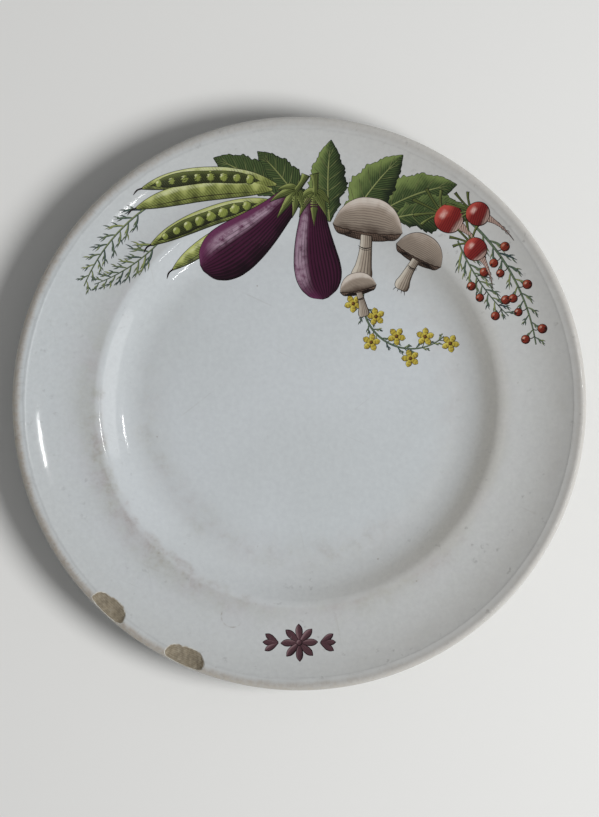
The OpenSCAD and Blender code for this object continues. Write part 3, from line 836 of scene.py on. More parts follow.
def places(table, length, fat):
    """Places in full from bearing, radius share, heading, size share and bend. A place's length is
    the given one times its size share, and its half width is a share of that."""
    return [(bearing, out, heading, length * size, length * size * fat, bend)
            for bearing, out, heading, size, bend in table]


def free(point, heading, length, half, bend):
    """A place like those of the spray for a form that starts at a plan point."""
    bearing = np.degrees(np.arctan2(point[1], point[0]))
    return (bearing, np.linalg.norm(point) / PLATE_R, heading, length, half, bend)


def middle(place, share):
    """Points and headings along a form's middle line, an arc that bends through an angle over its
    length. The bend is never 0."""
    bearing, out, heading, length, _, bend = place
    headings = heading + bend * np.asarray(share, float)
    radius = length * 180 / (np.pi * bend)
    start = PLATE_R * out * toward(bearing)
    return start + radius * (toward(headings - 90) - toward(heading - 90)), headings


def beside(place, share, reach):
    """A point, or a row of them, at a distance to the left of a form's middle line."""
    line, heading = middle(place, share)
    return line + np.asarray(reach)[..., None] * toward(heading + 90)


def laid(plan, lift):
    """Plan points laid on the glazed face: the face's height at their distance from the axis, plus a lift."""
    height = np.interp(np.linalg.norm(plan, axis=-1), glaze_line[:, 0], glaze_line[:, 1])
    return np.concatenate([plan, (height + lift)[..., None]], axis=-1)


print(f"height of the face at 110 mm from the axis: {laid(np.array([[110.0, 0.0]]), 0.0)[0, 2]:.2f} mm")


# %% Films, forms, discs and strokes
def film(right, left, base, crown, across, tone=0.0):
    """A film between two edge lines, given row by row: its top runs straight across from right to
    left, in as many steps as said, and swells by a crown away from its edges. Its under side is sunk
    into the glaze. A tone lightens its wash, by a number or by a function of the shares along and
    across it."""
    half = np.linalg.norm(left - right, axis=-1) / 2
    line = (left + right) / 2
    run = np.concatenate([[0], np.cumsum(np.linalg.norm(np.diff(line, axis=0), axis=1))])
    side = np.sin(np.linspace(-90, 90, across + 1) * np.pi / 180)
    side = np.concatenate([side, [1.0, 0.0, -1.0]])
    plan = line[:, None] + (left - right)[:, None] / 2 * side[None, :, None]
    edge = np.minimum(half[:, None] * (1 - abs(side)), np.minimum(run, run[-1] - run)[:, None])
    top = np.arange(len(side)) <= across
    lift = np.where(top, base + crown * np.clip(edge / SWELL_W, 0, 1) ** 0.5, -SINK)
    leftward = (left - right) / np.maximum(2 * half, TINY)[:, None]
    share = (run / run[-1])[:, None]
    marks = {
        "along": run[:, None], "across": half[:, None] * side, "edge": edge, "share": share,
        "light": (leftward @ DRAWN_LIGHT)[:, None] * side, "aside": 0.0, "half": half[:, None],
        "tone": tone(share, side) if callable(tone) else tone,
    }
    return wrapped(laid(plan, lift), marks=marks)


def form(place, shares, base, rows, across, crown=0.015, teeth=0.0, tone=0.0):
    """A motif that widens and narrows along its middle line, in so many rows, by a table of shares of
    its half width, joined by a smooth curve. With teeth, straight lines join them and a saw line cuts
    the edge."""
    share = (1 - np.cos(np.linspace(0, np.pi, rows))) / 2
    if teeth:
        saw = (share * place[3] / TOOTH_L) % 1.0
        width = np.interp(share, *np.array(shares).T) * (1 + teeth * (saw - TOOTH_MIDDLE))
    else:
        width = np.clip(curve(shares, share), LEAST_SHARE, None)
    line, heading = middle(place, share)
    out = (width * place[4])[:, None] * toward(heading + 90)
    return film(line - out, line + out, base, crown, across, tone)


def disc(centre, radius, base, heading, crown, rings=9, around=36, lumpy=0.0):
    """A round motif: rings from its middle to its edge and down into the glaze. Lumps wander its
    outline by a sine wave with three waves round it."""
    share = np.append(np.linspace(0.12, 1, rings), 1.0)[:, None]
    turn = np.arange(around) * 360 / around
    wander = 1 + lumpy * np.sin(np.radians(turn * 3 + heading * 7))[None]
    own = share[..., None] * wander[..., None] * toward(turn)[None]
    step = own[..., :1] * toward(heading) + own[..., 1:] * toward(heading + 90)
    top = np.arange(rings + 1)[:, None] < rings
    lift = np.where(top, base + crown * np.clip(1 - share ** 4, 0, 1), -SINK) + 0 * turn
    marks = {
        "along": radius * own[..., 0], "across": radius * own[..., 1],
        "edge": radius * (1 - share) + 0 * turn, "share": (own[..., 0] + 1) / 2,
        "light": step @ DRAWN_LIGHT, "aside": step @ DRAWN_ASIDE, "tone": 0.0, "half": radius,
    }
    poles = laid(np.array([centre, centre]), np.array([base + crown, -SINK]))
    return wrapped(laid(centre + radius * step, lift), poles, marks)


def stroke(points, wide, base, ends=(0.2, 0.2), rows=24):
    """An ink line through a few plan points on a smooth curve, or straight between two. It is thin at
    its ends by shares of its width."""
    points = np.asarray(points, float)
    at = np.linspace(0, len(points) - 1, rows)
    share = at / at[-1]
    if len(points) > 2:
        spots = np.arange(len(points))
        line = np.stack([smooth(at, spots, values) for values in points.T], -1)
    else:
        line = points[0] + (points[-1] - points[0]) * share[:, None]
    way = np.gradient(line, axis=0)
    way /= np.linalg.norm(way, axis=1)[:, None]
    width = np.interp(share, [0, 0.3, 0.7, 1], [ends[0], 1, 1, ends[1]]) * wide / 2
    out = np.stack([-way[:, 1], way[:, 0]], -1) * width[:, None]
    return film(line - out, line + out, base, LINE_CROWN, 2)


# %% [markdown]
# ## Washes and engraved line
# Close up, the enamel is a flat wash in two or three strengths, and the engraver's lines do the
# modelling: an outline that swells on the shaded side, and hatching that thickens into the
# shade. Each film carries the marks that this needs (how far along, how far across, how far
# from its edge, and how it faces the light that the engraver drew by), so one finish serves all
# motifs with other colours and other line.

# %% Enamel finish
ENAMEL_ROUGH = 0.2


def shining(board, grain):
    """Where the drawn light shines back: on the light side, near the middle, broken by grain."""
    light, aside, share = board.mark("light"), board.mark("aside"), board.mark("share")
    glow = board.step(abs(light - 0.5), 0.3, 0.08) * board.step(abs(aside), 0.42, 0.1)
    return glow * board.step(abs(share - 0.5), 0.44, 0.24) * board.step(grain, 0.2, 0.62)


def slanting(board, shade, wander, pitch, lean, folded):
    """Hatching: 1 where a saw line along the form, leaning as it goes across, is lower than the shade."""
    across = board.mark("across")
    slant = board.mark("along") + (abs(across) if folded else across) * lean
    return board.step(board.saw(slant / pitch + wander) - (shade * 1.15 - 0.22), 0.16, -0.16)


def running(board, shade, wander, lines):
    """Lines along the form, that many to each side: 1 where a saw line across it is lower than the shade."""
    side = board.mark("across") / (board.mark("half") + 0.01)
    return board.step(board.saw(side * lines + wander * 0.3) - (shade * 1.1 - 0.2), 0.2, -0.2)


def enamel(name, light, mid, dark, ink, pitch=1.4, lean=0.6, folded=False, lengthwise=0.0, outline=0.26,
           most=0.85, shine=None, tip=None):
    """Wash read off three colours by the drawn light, all as seen on a screen. Ink covers it in the
    hatching, which has a pitch and may lean and fold at the middle, or runs lengthwise, and near the
    edge. A tip colour comes in at the end, and a shine on the light side."""
    board = Board(name, {"IOR": 1.5, "Specular IOR Level": 0.3})
    light, mid, dark, ink = [tint(*seen) for seen in (light, mid, dark, ink)]
    point = board.place()
    grain = board.cloud(point, 340.0, 3.0, 0.6)
    uneven = (board.cloud(point, 110.0, 2.0) - 0.5) * 0.45
    lit = board.mark("light") * 0.46 + 0.5 + board.mark("tone") + uneven
    colour = board.ramp(lit, [(0.1, dark), (0.34, mid), (0.58, mid), (0.82, light)])
    if tip:
        at_tip = board.step(board.mark("share") + (grain - 0.5) * 0.15, 0.72, 0.95)
        colour = board.blend(at_tip, colour, tint(*tip))
    if shine:
        colour = board.blend(shining(board, grain) * 0.8, colour, tint(*shine))
    shade = 1.0 - lit
    wander = (board.cloud(point, 130.0, 2.0) - 0.5) * 0.9
    if lengthwise:
        hatch = running(board, shade, wander, lengthwise)
    else:
        hatch = slanting(board, shade, wander, pitch, lean, folded)
    line_w = outline * (0.55 + 1.1 * shade) + (grain - 0.5) * 0.12
    line = board.step(board.mark("edge") - line_w, 0.09, -0.09)
    inked = board.math("MAXIMUM", line, hatch * most * (0.6 + 0.4 * grain))
    colour = board.blend(inked, colour, ink)
    colour = board.blend(0.22 * grain, colour, board.blend(0.5, colour, ink))
    relief = board.relief(inked, 0.00003, board.relief(grain, 0.00002))
    return board.feed(Base_Color=colour, Roughness=ENAMEL_ROUGH + 0.12 * grain, Normal=relief)


INK = (24, 16, 14)
ink_line = enamel("engraved_line", (58, 46, 40), INK, INK, INK, most=0.3)
print("enamel nodes:", len(ink_line.node_tree.nodes))

# %% [markdown]
# ## Aubergines
# Two deep purple fruits lie in front of the rest. Each is a film that is widest two thirds of
# the way down, with lengthwise lines and a lilac shine where the drawn light falls. The green
# cap is five pointed sepals that spread from the top, and a cut stalk.

# %% Aubergines with their caps
SEPAL_SHARES = [(0, 0.55), (0.2, 0.95), (0.4, 0.9), (0.65, 0.55), (0.85, 0.26), (1, 0.03)]
STUB_SHARES = [(0, 1.0), (0.3, 0.8), (0.8, 1.0), (1, 1.25)]
AUBERGINE_SHARES = [(0, 0.36), (0.1, 0.48), (0.25, 0.62), (0.4, 0.78), (0.55, 0.92), (0.68, 1),
                    (0.8, 0.97), (0.9, 0.78), (0.96, 0.52), (1, 0.12)]
# Each sepal's angle from the fruit's own way, and its length
SEPALS = ((-74, 9.5), (74, 9.5), (-40, 14.0), (40, 13.0), (3, 16.5))
aubergine_places = places([(91.2, 0.739, 230, 1, -22), (85.8, 0.733, 264, 0.87, 24)], 55.0, 0.222)
purple = enamel("aubergine_enamel", (94, 44, 76), (61, 20, 45), (30, 8, 22), (14, 4, 10),
                lengthwise=7.0, outline=0.34, shine=(170, 146, 162))
green = enamel("calyx_enamel", (146, 156, 92), (88, 98, 50), (46, 52, 30), (24, 24, 16),
               lengthwise=2.5, outline=0.22)
fruits, caps = [], []
for i, place in enumerate(aubergine_places):
    fruits.append(form(place, AUBERGINE_SHARES, AUBERGINE_Z + STEP_Z * i, 70, 20, 0.02))
    top, heading = middle(place, 0.0)
    ahead = toward(heading)
    for lean, long in SEPALS:
        sepal = free(top - 1.5 * ahead, heading + lean, long, 2.2, -0.62 * lean + 5)
        caps.append(form(sepal, SEPAL_SHARES, SEPAL_Z, 24, 8))
    stub = free(top - 0.5 * ahead, heading + 176, 9.0, 1.7, 24)
    caps.append(form(stub, STUB_SHARES, STUB_Z, 20, 8))
aubergines = piece("aubergines", fruits, purple)
aubergine_caps = piece("aubergine_caps", caps, green)
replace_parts(aubergines, "aubergine_enamel")

# %% [markdown]
# ## Pea pods
# Four pods fan out to the left behind the aubergines. The first and the third have split, and
# show their peas in a dark slit. The other two are closed: their peas press through as a row of
# soft lights and shades, and a seam line runs beside the middle. Each ends in a withered tip.

# %% Pods, open slits and peas
POD_SHARES = [(0, 0.12), (0.06, 0.4), (0.16, 0.72), (0.32, 0.95), (0.5, 1), (0.7, 0.92),
              (0.85, 0.66), (0.94, 0.34), (1, 0.05)]
SLIT_SHARES = [(0, 0.01), (0.12, 0.02), (0.2, 0.6), (0.5, 1), (0.84, 0.7), (0.93, 0.02), (1, 0.01)]
SPLIT_PODS, PEAS, PEA_FAT, SEAM_OUT = (0, 2), 8, 0.62, 0.5
pod_places = places([(95.9, 0.768, 165, 0.98, 34), (97.1, 0.752, 174, 1, 28), (97.4, 0.714, 188, 0.94, 24),
                     (99.1, 0.678, 202, 0.81, 18)], 64.0, 0.074)
pod_green = enamel("pea_pod_enamel", (172, 178, 108), (124, 132, 70), (70, 76, 38), (36, 38, 20),
                   pitch=1.3, lean=0.7, shine=(200, 204, 158), outline=0.3, most=0.6)
pea_green = enamel("pea_enamel", (176, 184, 108), (132, 142, 70), (76, 86, 42), (36, 40, 22),
                   pitch=0.9, lean=0.0, shine=(212, 214, 174), most=0.3)
slit_dark = enamel("pod_inside", (92, 100, 54), (56, 62, 32), (34, 36, 20), (22, 22, 14), pitch=1.0)


def pea_shade(share, side):
    """Shade of a pod: it goes up and down once for each pea, most of all along the middle."""
    return 0.2 * np.cos(2 * np.pi * PEAS * share) * (1 - side ** 2)


pods, slits, peas, pod_lines = [], [], [], []
for i, place in enumerate(pod_places):
    base, half = POD_Z + STEP_Z * i, place[4]
    pods.append(form(place, POD_SHARES, base, 80, 14, tone=pea_shade))
    if i in SPLIT_PODS:
        slit = (*place[:4], half * PEA_FAT, place[5])
        slits.append(form(slit, SLIT_SHARES, base + 0.016, 60, 8))
        pea_at = np.linspace(0.2, 0.86, PEAS)
        spots, headings = middle(place, pea_at)
        sizes = half * PEA_FAT * curve(POD_SHARES, pea_at)
        for spot, size, heading in zip(spots, sizes, headings):
            peas.append(disc(spot, size, base + 0.022, heading, 0.012))
    else:
        seam_at = np.linspace(0.06, 0.96, 7)
        seam = beside(place, seam_at, half * SEAM_OUT * curve(POD_SHARES, seam_at))
        pod_lines.append(stroke(seam, 0.34, base + 0.018, rows=50))
    tip, heading = middle(place, 1.0)
    withered = [tip - 1.2 * toward(heading), tip + 1.5 * toward(heading), tip + 4.2 * toward(heading + 20)]
    pod_lines.append(stroke(withered, 0.7, base + 0.01, (1.2, 0.2)))
pea_pods = piece("pea_pods", pods, pod_green)
pod_slits = piece("pod_slits", slits, slit_dark)
pod_peas = piece("peas", peas, pea_green)
pod_tips = piece("pod_tips", pod_lines, ink_line)
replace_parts(pea_pods, "pea_pod_enamel")

# %% [markdown]
# ## Leaves
# Six lobed leaves stand behind the fruit. The lobes come from the same table of half widths as
# the CAD, with teeth added along the edge. The ribs are raised strokes of pale green, and the
# hatching slants away from the middle rib to both sides.

# %% Leaves and their ribs
LEAF_SHARES = [(0, 0.06), (0.1, 0.3), (0.2, 0.62), (0.27, 0.55), (0.38, 0.9), (0.48, 1), (0.55, 0.84),
               (0.66, 0.86), (0.74, 0.62), (0.84, 0.5), (0.93, 0.24), (1, 0.02)]
# How far a side rib reaches towards the leaf's edge, and how far it has got halfway
RIB_OUT, RIB_HALFWAY = 0.86, 0.45
leaf_places = places([(80.5, 0.645, 96, 0.88, -14), (88.7, 0.68, 120, 0.8, 18), (75, 0.635, 62, 1, -20),
                      (96.1, 0.727, 138, 0.81, 22), (68.4, 0.7, 36, 0.98, -30), (63.4, 0.722, 15, 0.9, -26)],
                     42.0, 0.25)
leaf_green = enamel("leaf_enamel", (116, 132, 76), (66, 82, 46), (34, 44, 28), (18, 24, 16),
                    pitch=1.5, lean=-1.15, folded=True, outline=0.3, most=0.8)
rib_green = enamel("leaf_rib", (164, 170, 116), (126, 134, 82), (78, 84, 48), (42, 46, 28),
                   most=0.2, outline=0.1)
blades, ribs = [], []
for i, place in enumerate(leaf_places):
    base, half = LEAF_Z + STEP_Z * (i % 4), place[4]
    blades.append(form(place, LEAF_SHARES, base, 110, 14, teeth=0.11, tone=-0.04 * (i % 2)))
    ribs.append(stroke(middle(place, np.linspace(0.0, 0.97, 6))[0], 0.75, base + 0.018, (1.0, 0.15), 40))
    for share in np.linspace(0.1, 0.78, 6):
        for side in (-1, 1):
            tip_share = share + 0.15
            wide = half * np.interp(tip_share, *np.array(LEAF_SHARES).T) * RIB_OUT
            bent = beside(place, share + 0.06, side * wide * RIB_HALFWAY)
            rib = [middle(place, share)[0], bent, beside(place, tip_share, side * wide)]
            ribs.append(stroke(rib, 0.36, base + 0.017, (1.0, 0.15), 12))
leaves = piece("leaves", blades, leaf_green)
leaf_ribs = piece("leaf_ribs", ribs, rib_green)
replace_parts(leaves, "leaf_enamel")

# %% [markdown]
# ## Mushrooms
# Three field mushrooms are seen a little from below: a domed cap, the gills in the shade under
# its edge, and a stem in front of them, with the two lines of its ring and a few root hairs. The
# gills are fine strokes that run out from the top of the stem. Cap, gills and stem are separate
# films, so that each has its own wash.

# %% Caps, gills and stems
CAP_TOP = [(0, 0.46), (0.12, 0.45), (0.25, 0.4), (0.37, 0.3), (0.45, 0.17), (0.5, 0.02)]
CAP_UNDER = [(0, -0.16), (0.12, -0.15), (0.3, -0.12), (0.46, -0.05), (0.5, 0.02)]
STEM_SHARES = [(0, 0.085), (0.04, 0.125), (0.15, 0.15), (0.35, 0.12), (0.7, 0.09), (1, 0.085)]
STEM_FOOT, STEM_L, STEM_BOW = -0.75, 0.68, 0.02
GILL_COUNT, GILL_SPAN = 33, 0.44
# The ring's two lines: places across and up the mushroom, and the line's width
RING_LINES = (([-0.1, -0.03, 0.04, 0.1], [-0.235, -0.26, -0.255, -0.225], 0.5),
              ([-0.095, -0.02, 0.05, 0.105], [-0.265, -0.285, -0.28, -0.25], 0.28))
mushroom_places = [(68.6, 0.653, -8, 32.0), (51.1, 0.662, -28, 23.0), (62.6, 0.451, 12, 17.0)]
cap_taupe = enamel("mushroom_cap_enamel", (190, 177, 166), (150, 137, 124), (90, 76, 66), (40, 29, 23),
                   lengthwise=7.0, outline=0.3, most=0.5, shine=(206, 198, 188))
gill_brown = enamel("gill_enamel", (150, 130, 114), (104, 86, 74), (62, 48, 40), (30, 21, 17),
                    pitch=0.8, lean=0.0)
stem_white = enamel("stem_enamel", (198, 190, 176), (160, 148, 134), (98, 84, 72), (42, 32, 25),
                    lengthwise=3.0, outline=0.26, most=0.7)


def cap_shade(share, side):
    """Shade of a cap: lighter from its brim up to its top, whatever the share along it."""
    return 0.12 * side


def spread(own, across, up):
    """Points of a mushroom's own plan, in shares of its cap's width, from its middle and its two ways."""
    start, wide, sideways, upwards = own
    return start + wide * (np.asarray(across)[..., None] * sideways + np.asarray(up)[..., None] * upwards)


domes, gills, gill_lines, stems, stem_lines = [], [], [], [], []
for i, (bearing, out, tilt, wide) in enumerate(mushroom_places):
    base = MUSHROOM_Z + 2 * STEP_Z * i
    own = (PLATE_R * out * toward(bearing), wide, toward(tilt), toward(tilt + 90))
    across = 0.5 * np.sin(np.linspace(-np.pi / 2, np.pi / 2, 60))
    top, under = curve(CAP_TOP, abs(across)), curve(CAP_UNDER, abs(across))
    brim = 0.02 - 0.07 * np.sqrt(np.clip(1 - 4 * across ** 2, 0, 1)) + 0.004 * np.sin(across * 60 + i)
    cap_edges = spread(own, across, brim), spread(own, across, top)
    domes.append(film(*cap_edges, base, 0.02, 18, cap_shade))
    gill_edges = spread(own, across, under), spread(own, across, brim + 0.01)
    gills.append(film(*gill_edges, base - 0.008, 0.005, 6, -0.08))
    for at in np.linspace(-GILL_SPAN, GILL_SPAN, GILL_COUNT):
        low = curve(CAP_UNDER, abs(at))
        gill = spread(own, [at * 0.5, at * 0.97], [-0.04 + 0.2 * (low + 0.04), low * 0.96])
        gill_lines.append(stroke(gill, 0.26, base - 0.001, (0.6, 0.8), 4))
    share = np.linspace(0, 1, 40)
    half, height = curve(STEM_SHARES, share), STEM_FOOT + share * STEM_L
    bow = STEM_BOW * np.sin(share * np.pi) * (-1) ** i
    stem_edges = spread(own, bow + half, height), spread(own, bow - half, height)
    stems.append(film(*stem_edges, base + 0.006, 0.016, 14))
    for ring_across, ring_up, line_w in RING_LINES:
        stem_lines.append(stroke(spread(own, ring_across, ring_up), line_w, base + 0.024, rows=20))
    for at in (-0.7, -0.25, 0.2, 0.6):
        hair = spread(own, [0.12 * at, 0.16 * at, 0.2 * at + 0.01], [-0.72, -0.755, -0.8 - 0.02 * abs(at)])
        stem_lines.append(stroke(hair, 0.3, HAIR_Z, (1, 0.2), 8))
mushroom_caps = piece("mushroom_caps", domes, cap_taupe)
mushroom_gills = piece("mushroom_gills", gills, gill_brown)
gill_strokes = piece("gill_strokes", gill_lines, ink_line)
mushroom_stems = piece("mushroom_stems", stems, stem_white)
stem_strokes = piece("stem_strokes", stem_lines, ink_line)
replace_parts(mushroom_caps, "mushroom_enamel")

# %% [markdown]
# ## Radishes
# Three round red radishes, each paling at its tip into a root that thins to a hair, with finer
# hairs of its own, and a few cut leaf stalks. The globe is a film of rings, so it turns to the
# drawn light all the way round, and hatching crosses it.

# %% Radish globes, roots and stalks
ROOT_SHARES = [(0, 1), (0.2, 0.6), (0.5, 0.3), (1, 0.06)]
STALK_SHARES = [(0, 1), (0.5, 0.8), (1, 0.5)]
# Each cut stalk's angle from the radish's own way, and its length as a share of the radish
CUT_STALKS = ((-46, 0.62), (-20, 0.85), (6, 0.95), (30, 0.8), (52, 0.6))
radish_places = [(51, 0.831, 326, 13.5, -30), (41.2, 0.818, 306, 10.8, -30), (46.7, 0.909, 336, 11.07, -30)]
radish_red = enamel("radish_enamel", (176, 72, 62), (122, 34, 32), (62, 16, 16), (34, 9, 9), pitch=1.0,
                    lean=0.15, outline=0.3, shine=(224, 186, 176), tip=(206, 176, 164), most=0.6)
root_pale = enamel("radish_root_enamel", (206, 188, 176), (176, 150, 138), (110, 80, 70), (48, 28, 24),
                   pitch=1.1, outline=0.2)
globes, roots, tops = [], [], []
for i, (bearing, out, heading, wide, bend) in enumerate(radish_places):
    base, centre = RADISH_Z + 0.005 * i, PLATE_R * out * toward(bearing)
    globes.append(disc(centre, wide / 2, base, heading, 0.03, 14, 72, 0.015))
    root = free(centre + 0.46 * wide * toward(heading), heading - 2, wide * 1.4, wide * 0.15, bend)
    roots.append(form(root, ROOT_SHARES, base - 0.004, 50, 8))
    for at in (0.25, 0.45, 0.62):
        spot, way = middle(root, at)
        for side in (-1, 1):
            bent, end = wide * 0.1 * toward(way + 40 * side), wide * 0.2 * toward(way + 15 * side)
            roots.append(stroke([spot, spot + bent, spot + end], 0.22, ROOT_HAIR_Z, (1, 0.3), 8))
    for lean, long in CUT_STALKS:
        crown_point = centre - 0.44 * wide * toward(heading + lean * 0.4)
        stalk = free(crown_point, heading + 180 + lean, wide * long, wide * 0.055, lean * 0.5 + 1)
        tops.append(form(stalk, STUB_SHARES, base - 0.006, 20, 6))
radishes = piece("radishes", globes, radish_red)
radish_roots = piece("radish_roots", roots, root_pale)
radish_tops = piece("radish_tops", tops, green)
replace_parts(radishes, "radish_enamel")

# %% [markdown]
# ## Fronds and currants
# The finest work of the spray: feathery twigs in blue-green, with orange-red currants on two of
# them. Each needle is a slim film that leans forward and curls, and carries three finer ones.
# They are drawn with few points each, because with the vine's own there are about 330 films.

# %% Feathery fronds
NEEDLE_SHARES = [(0, 0.5), (0.4, 1), (1, 0.15)]
NEEDLE_L, NEEDLE_LEAN, NEEDLE_CURL, NEEDLE_FAT, NEEDLE_LEAST = 11.0, 48.0, 25.0, 0.058, 0.34
TWIGLET_HALF, TWIGLET_CURL = 0.33, 24
# Seeds of the needles' draws: one for the first frond and on from there, and one for the vine
FROND_SEED, VINE_SEED = 40, 50
frond_places = places([(126, 0.865, 212, 0.385, 36), (129.6, 0.749, 228, 0.29, -28),
                       (46.4, 0.871, 317, 0.49, -38), (45.8, 0.794, 292, 0.32, 24)], PLATE_R, 0.01)
twig = enamel("frond_enamel", (142, 148, 90), (92, 108, 84), (56, 76, 80), (32, 42, 46),
              pitch=2.2, outline=0.12, most=0.4)


def feather(place, pairs, length, base, seed):
    """Needles in pairs that lean forward on both sides of a stalk, shorter towards its end, each
    with three finer ones that fork off it. None is quite as long, as steep or as green as the next."""
    rng = np.random.default_rng(seed)
    made = []
    for pair in range(pairs):
        for side in (-1, 1):
            share = 0.12 + 0.88 * (pair + (side + 1) / 4) / pairs
            long = length * (1 - share / 2) * rng.uniform(0.86, 1.06)
            root, heading = middle(place, share)
            lean = NEEDLE_LEAN + rng.uniform(-9, 9)
            curl = NEEDLE_CURL + rng.uniform(-14, 22)
            half = max(long * NEEDLE_FAT, NEEDLE_LEAST)
            needle = free(root, heading + side * lean, long, half, -side * curl)
            made.append(form(needle, NEEDLE_SHARES, base, 14, 4, 0.01, tone=rng.uniform(-0.34, 0.3)))
            for way, at in ((-1, 0.34), (1, 0.5), (-1, 0.68)):
                spot, turn = middle(needle, at + rng.uniform(-0.05, 0.05))
                fork = turn + way * rng.uniform(28, 42)
                twiglet_l = long * rng.uniform(0.34, 0.46)
                twiglet = free(spot, fork, twiglet_l, TWIGLET_HALF, -way * TWIGLET_CURL)
                tone = rng.uniform(-0.34, 0.3)
                made.append(form(twiglet, NEEDLE_SHARES, base + 0.003, 8, 2, 0.006, tone=tone))
    return made


plumes = [form(place, STALK_SHARES, FROND_Z, 50, 6) for place in frond_places]
for i, place in enumerate(frond_places):
    plumes += feather(place, 8, NEEDLE_L, NEEDLE_Z, FROND_SEED + i)
fronds = piece("fronds", plumes, twig)
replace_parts(fronds, "frond_enamel")

# %% Currants on the fronds
CURRANT_R, CURRANT_STALK_L, CURRANT_TUCK = 2.2, 4.4, 0.95
# For each frond that bears currants: the share along it and the side of each
CURRANTS = {2: [(0.28, 1), (0.33, -1), (0.42, -1), (0.58, 1), (0.63, -1), (0.74, -1), (0.9, 1), (0.95, -1)],
            3: [(0.45, 1), (0.5, -1), (0.65, -1), (0.85, 1), (0.9, -1)]}
currant_red = enamel("currant_enamel", (168, 84, 60), (124, 44, 31), (66, 23, 17), (36, 13, 10),
                     pitch=0.9, lean=0.0, outline=0.3, shine=(220, 186, 166), most=0.5)
berries, berry_marks = [], []
for index, rows in CURRANTS.items():
    for i, (share, side) in enumerate(rows):
        root, heading = middle(frond_places[index], share)
        centre = beside(frond_places[index], share, side * CURRANT_STALK_L * CURRANT_TUCK)
        away = (centre - root) / np.linalg.norm(centre - root)
        base = CURRANT_Z + 0.004 * i
        berries.append(disc(centre, CURRANT_R * (1 - 0.06 * (i % 3)), base, heading, 0.03, 9, 32))
        stalk = [root - 0.6 * toward(heading), root + away * 1.2, centre - away * 1.9]
        berry_marks.append(stroke(stalk, 0.4, STALK_Z, (1, 0.8), 8))
        berry_marks.append(disc(centre + away * 1.15, 0.5, base + 0.022, heading, 0.01, 3, 12))
currants = piece("currants", berries, currant_red)
currant_marks = piece("currant_stalks", berry_marks, ink_line)
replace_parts(currants, "currant_enamel")

# %% [markdown]
# ## Vine and rosette
# A vine with yellow flowers curls down into the well, and a small rosette in plum-brown line,
# between two buds of three petals, sits by itself at the bottom of the rim. Both are made of one
# petal form, turned about each flower's middle.

# %% Vine with yellow flowers
PETAL_SHARES = [(0, 0.2), (0.35, 0.8), (0.6, 1), (0.85, 0.7), (1, 0.1)]
FLOWER_D, FLOWER_OUT, FLOWERS, PETALS = 8.4, 0.52, 7, 5
PETAL_L, PETAL_FAT, PETAL_BEND = FLOWER_D / 2, 0.34, 4
vine_place = places([(60.9, 0.475, 252, 0.446, 150)], PLATE_R, 0.01)[0]
yellow = enamel("flower_enamel", (206, 194, 96), (176, 158, 62), (120, 102, 40), (74, 58, 26),
                pitch=1.3, lean=0.0, outline=0.22, most=0.6)
heart_brown = enamel("flower_heart", (150, 108, 50), (110, 72, 34), (70, 44, 24), (40, 24, 16), pitch=0.6)
petals, hearts, twigs = [], [], [form(vine_place, STALK_SHARES, VINE_Z, 90, 6)]
for i in range(1, FLOWERS + 1):
    side = 1 if i % 2 == 0 else -1
    centre = beside(vine_place, i / FLOWERS, side * FLOWER_D * FLOWER_OUT)
    root = middle(vine_place, i / FLOWERS - 0.05)[0]
    twigs.append(stroke([root, (root + centre) / 2 + 0.3, centre], 0.42, HAIR_Z, (1, 0.8), 8))
    for turn in range(PETALS):
        petal = free(centre, 72 * turn + 50 * i, PETAL_L, PETAL_L * PETAL_FAT, PETAL_BEND)
        petals.append(form(petal, PETAL_SHARES, PETAL_Z + 0.002 * turn, 16, 8, 0.02))
    hearts.append(disc(centre, 0.85, HEART_Z, 50 * i, 0.02, 4, 16))
twigs += feather(vine_place, 9, 6.5, 0.016, VINE_SEED)
flowers = piece("yellow_flowers", petals, yellow)
flower_hearts = piece("flower_hearts", hearts, heart_brown)
vine = piece("vine", twigs, twig)
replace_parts(flowers, "flower_enamel")

# %% Rosette
ROSETTE, ROSETTE_D, ROSETTE_FAT = np.array([0.0, -PLATE_R * 0.835]), 17.0, 0.2
BUD_L, BUD_OUT = 0.42 * ROSETTE_D, 0.56 * ROSETTE_D
plum = enamel("rosette_print", (132, 106, 110), (88, 60, 66), (54, 32, 38), (30, 17, 21), pitch=0.62,
              lean=0.7, folded=True, outline=0.3, most=0.9)
rose = []
for turn in range(8):
    petal = free(ROSETTE, 45 * turn, ROSETTE_D / 2, ROSETTE_D / 2 * ROSETTE_FAT, PETAL_BEND)
    rose.append(form(petal, PETAL_SHARES, ROSE_Z + STEP_Z * (turn % 2), 26, 10))
for side in (-1, 1):
    for lean in (-32, 0, 32):
        heading = lean if side > 0 else 180 - lean
        petal = free(ROSETTE + [BUD_OUT * side, 0], heading, BUD_L, BUD_L * ROSETTE_FAT, PETAL_BEND * side)
        rose.append(form(petal, PETAL_SHARES, ROSE_Z, 26, 8))
rose.append(disc(ROSETTE, 1.5, 0.05, 0, 0.02, 5, 24))
rosette = piece("rosette", rose, plum)
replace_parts(rosette, "rosette_enamel")

# %% [markdown]
# ## Floor, light and camera
# The photograph looks straight down at the plate. A soft key light stands to the right, 42
# degrees off the vertical, and the air around gives a quarter of a white sky's light. Two narrow
# lamps give the streaks that the glaze shows on the left, and a broad one gives its glow. These
# three light nothing but reflections and the key has none, so the key stays soft and the streaks
# stay thin.

# %% Floor and surrounding light
FLOOR_HALF, AIR = 15.0, 0.25


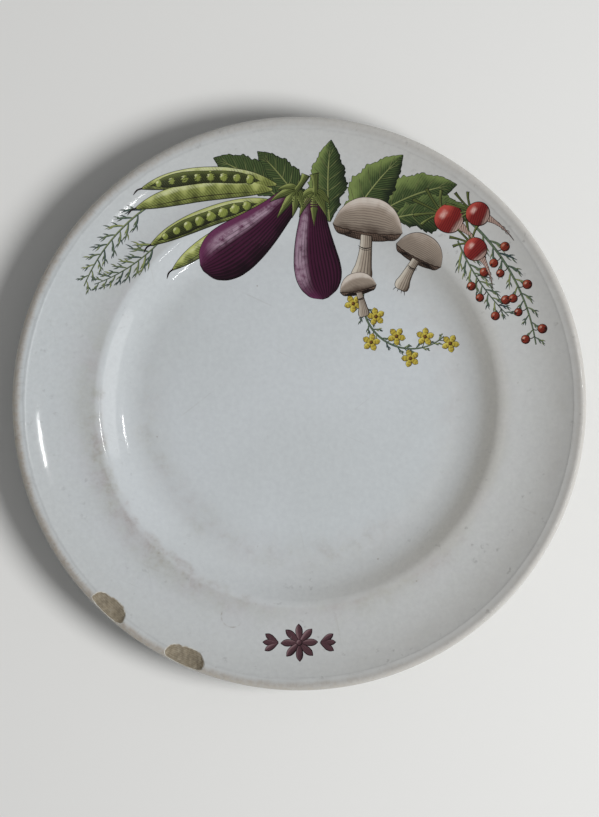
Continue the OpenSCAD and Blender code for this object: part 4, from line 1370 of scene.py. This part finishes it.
def pale_floor():
    """A wide pale floor that keeps the plate's shadow."""
    mesh = bpy.data.meshes.new("floor")
    corners = np.array([[-1, -1, 0], [1, -1, 0], [1, 1, 0], [-1, 1, 0]], float) * FLOOR_HALF
    mesh.from_pydata(corners.tolist(), [], [(0, 1, 2, 3)])
    board = Board("floor_paper", {"Roughness": 0.9, "Base Color": solid(tint(228, 228, 226)),
                                  "Specular IOR Level": 0.2})
    mesh.materials.append(board.material)
    floor = bpy.data.objects.new("floor", mesh)
    bpy.context.scene.collection.objects.link(floor)


def surrounding_air(strength):
    """Even grey light from all round."""
    world = bpy.data.worlds.new("studio_air")
    bpy.context.scene.world = world
    world.use_nodes = True
    sky = world.node_tree.nodes["Background"]
    sky.inputs["Color"].default_value = (1.0, 1.0, 1.0, 1.0)
    sky.inputs["Strength"].default_value = strength


def light(name, azimuth, off_vertical, away, size, power):
    """An oval area light at an azimuth and an angle off the vertical, at a distance, turned to the plate."""
    data = bpy.data.lights.new(name, "AREA")
    data.shape, data.size, data.size_y, data.energy = "ELLIPSE", size[0], size[1], power
    lamp = bpy.data.objects.new(name, data)
    way = np.array([*(toward(azimuth) * rise(off_vertical)), toward(off_vertical)[0]])
    lamp.location = way * away
    lamp.rotation_mode = "QUATERNION"
    lamp.rotation_quaternion = Vector(-way).to_track_quat("-Z", "Y")
    bpy.context.scene.collection.objects.link(lamp)
    return lamp


pale_floor()
surrounding_air(AIR)
key = light("key", -15.0, 42.0, 1.8, (0.8, 0.8), 29.5)
key.visible_glossy = False
# Lamps that are only mirrored: azimuth, angle off the vertical, size and power, all at one distance
MIRRORED_AWAY = 2.0
MIRRORED = [("streak_right", 8.8, 38.0, (0.215, 0.062), 1.85), ("streak_low", 311.0, 38.0, (0.2, 0.05), 0.7),
            ("glow", -6.0, 62.0, (1.7, 0.8), 5.4)]
for name, azimuth, off_vertical, size, power in MIRRORED:
    light(name, azimuth, off_vertical, MIRRORED_AWAY, size, power).visible_diffuse = False
print("lamps:", ", ".join(lamp.name for lamp in bpy.data.lights))

# %% Camera straight above
# The frame in pixels, its scale at the lip, and where the plate's middle lies from its top left
PIXELS_PER_METRE, FRAME_WIDE, FRAME_HIGH = 2206.7, 599, 817
PLATE_MIDDLE = (299.32, 403.54)
# The camera's height over the lip in metres, and its sensor in millimetres
CAMERA_UP, SENSOR = 2.4, 36.0
camera_x = (FRAME_WIDE / 2 - PLATE_MIDDLE[0]) / PIXELS_PER_METRE
camera_y = (PLATE_MIDDLE[1] - FRAME_HIGH / 2) / PIXELS_PER_METRE
camera = bpy.data.objects.new("camera", bpy.data.cameras.new("camera"))
bpy.context.scene.collection.objects.link(camera)
camera.data.sensor_width = SENSOR
camera.data.lens = PIXELS_PER_METRE * CAMERA_UP * camera.data.sensor_width / FRAME_HIGH
camera.location = (camera_x, camera_y, roll_c[1] * MM + CAMERA_UP)
bpy.context.scene.camera = camera
bpy.context.scene.view_settings.view_transform = "Standard"
print(f"lens {camera.data.lens:.1f} mm")
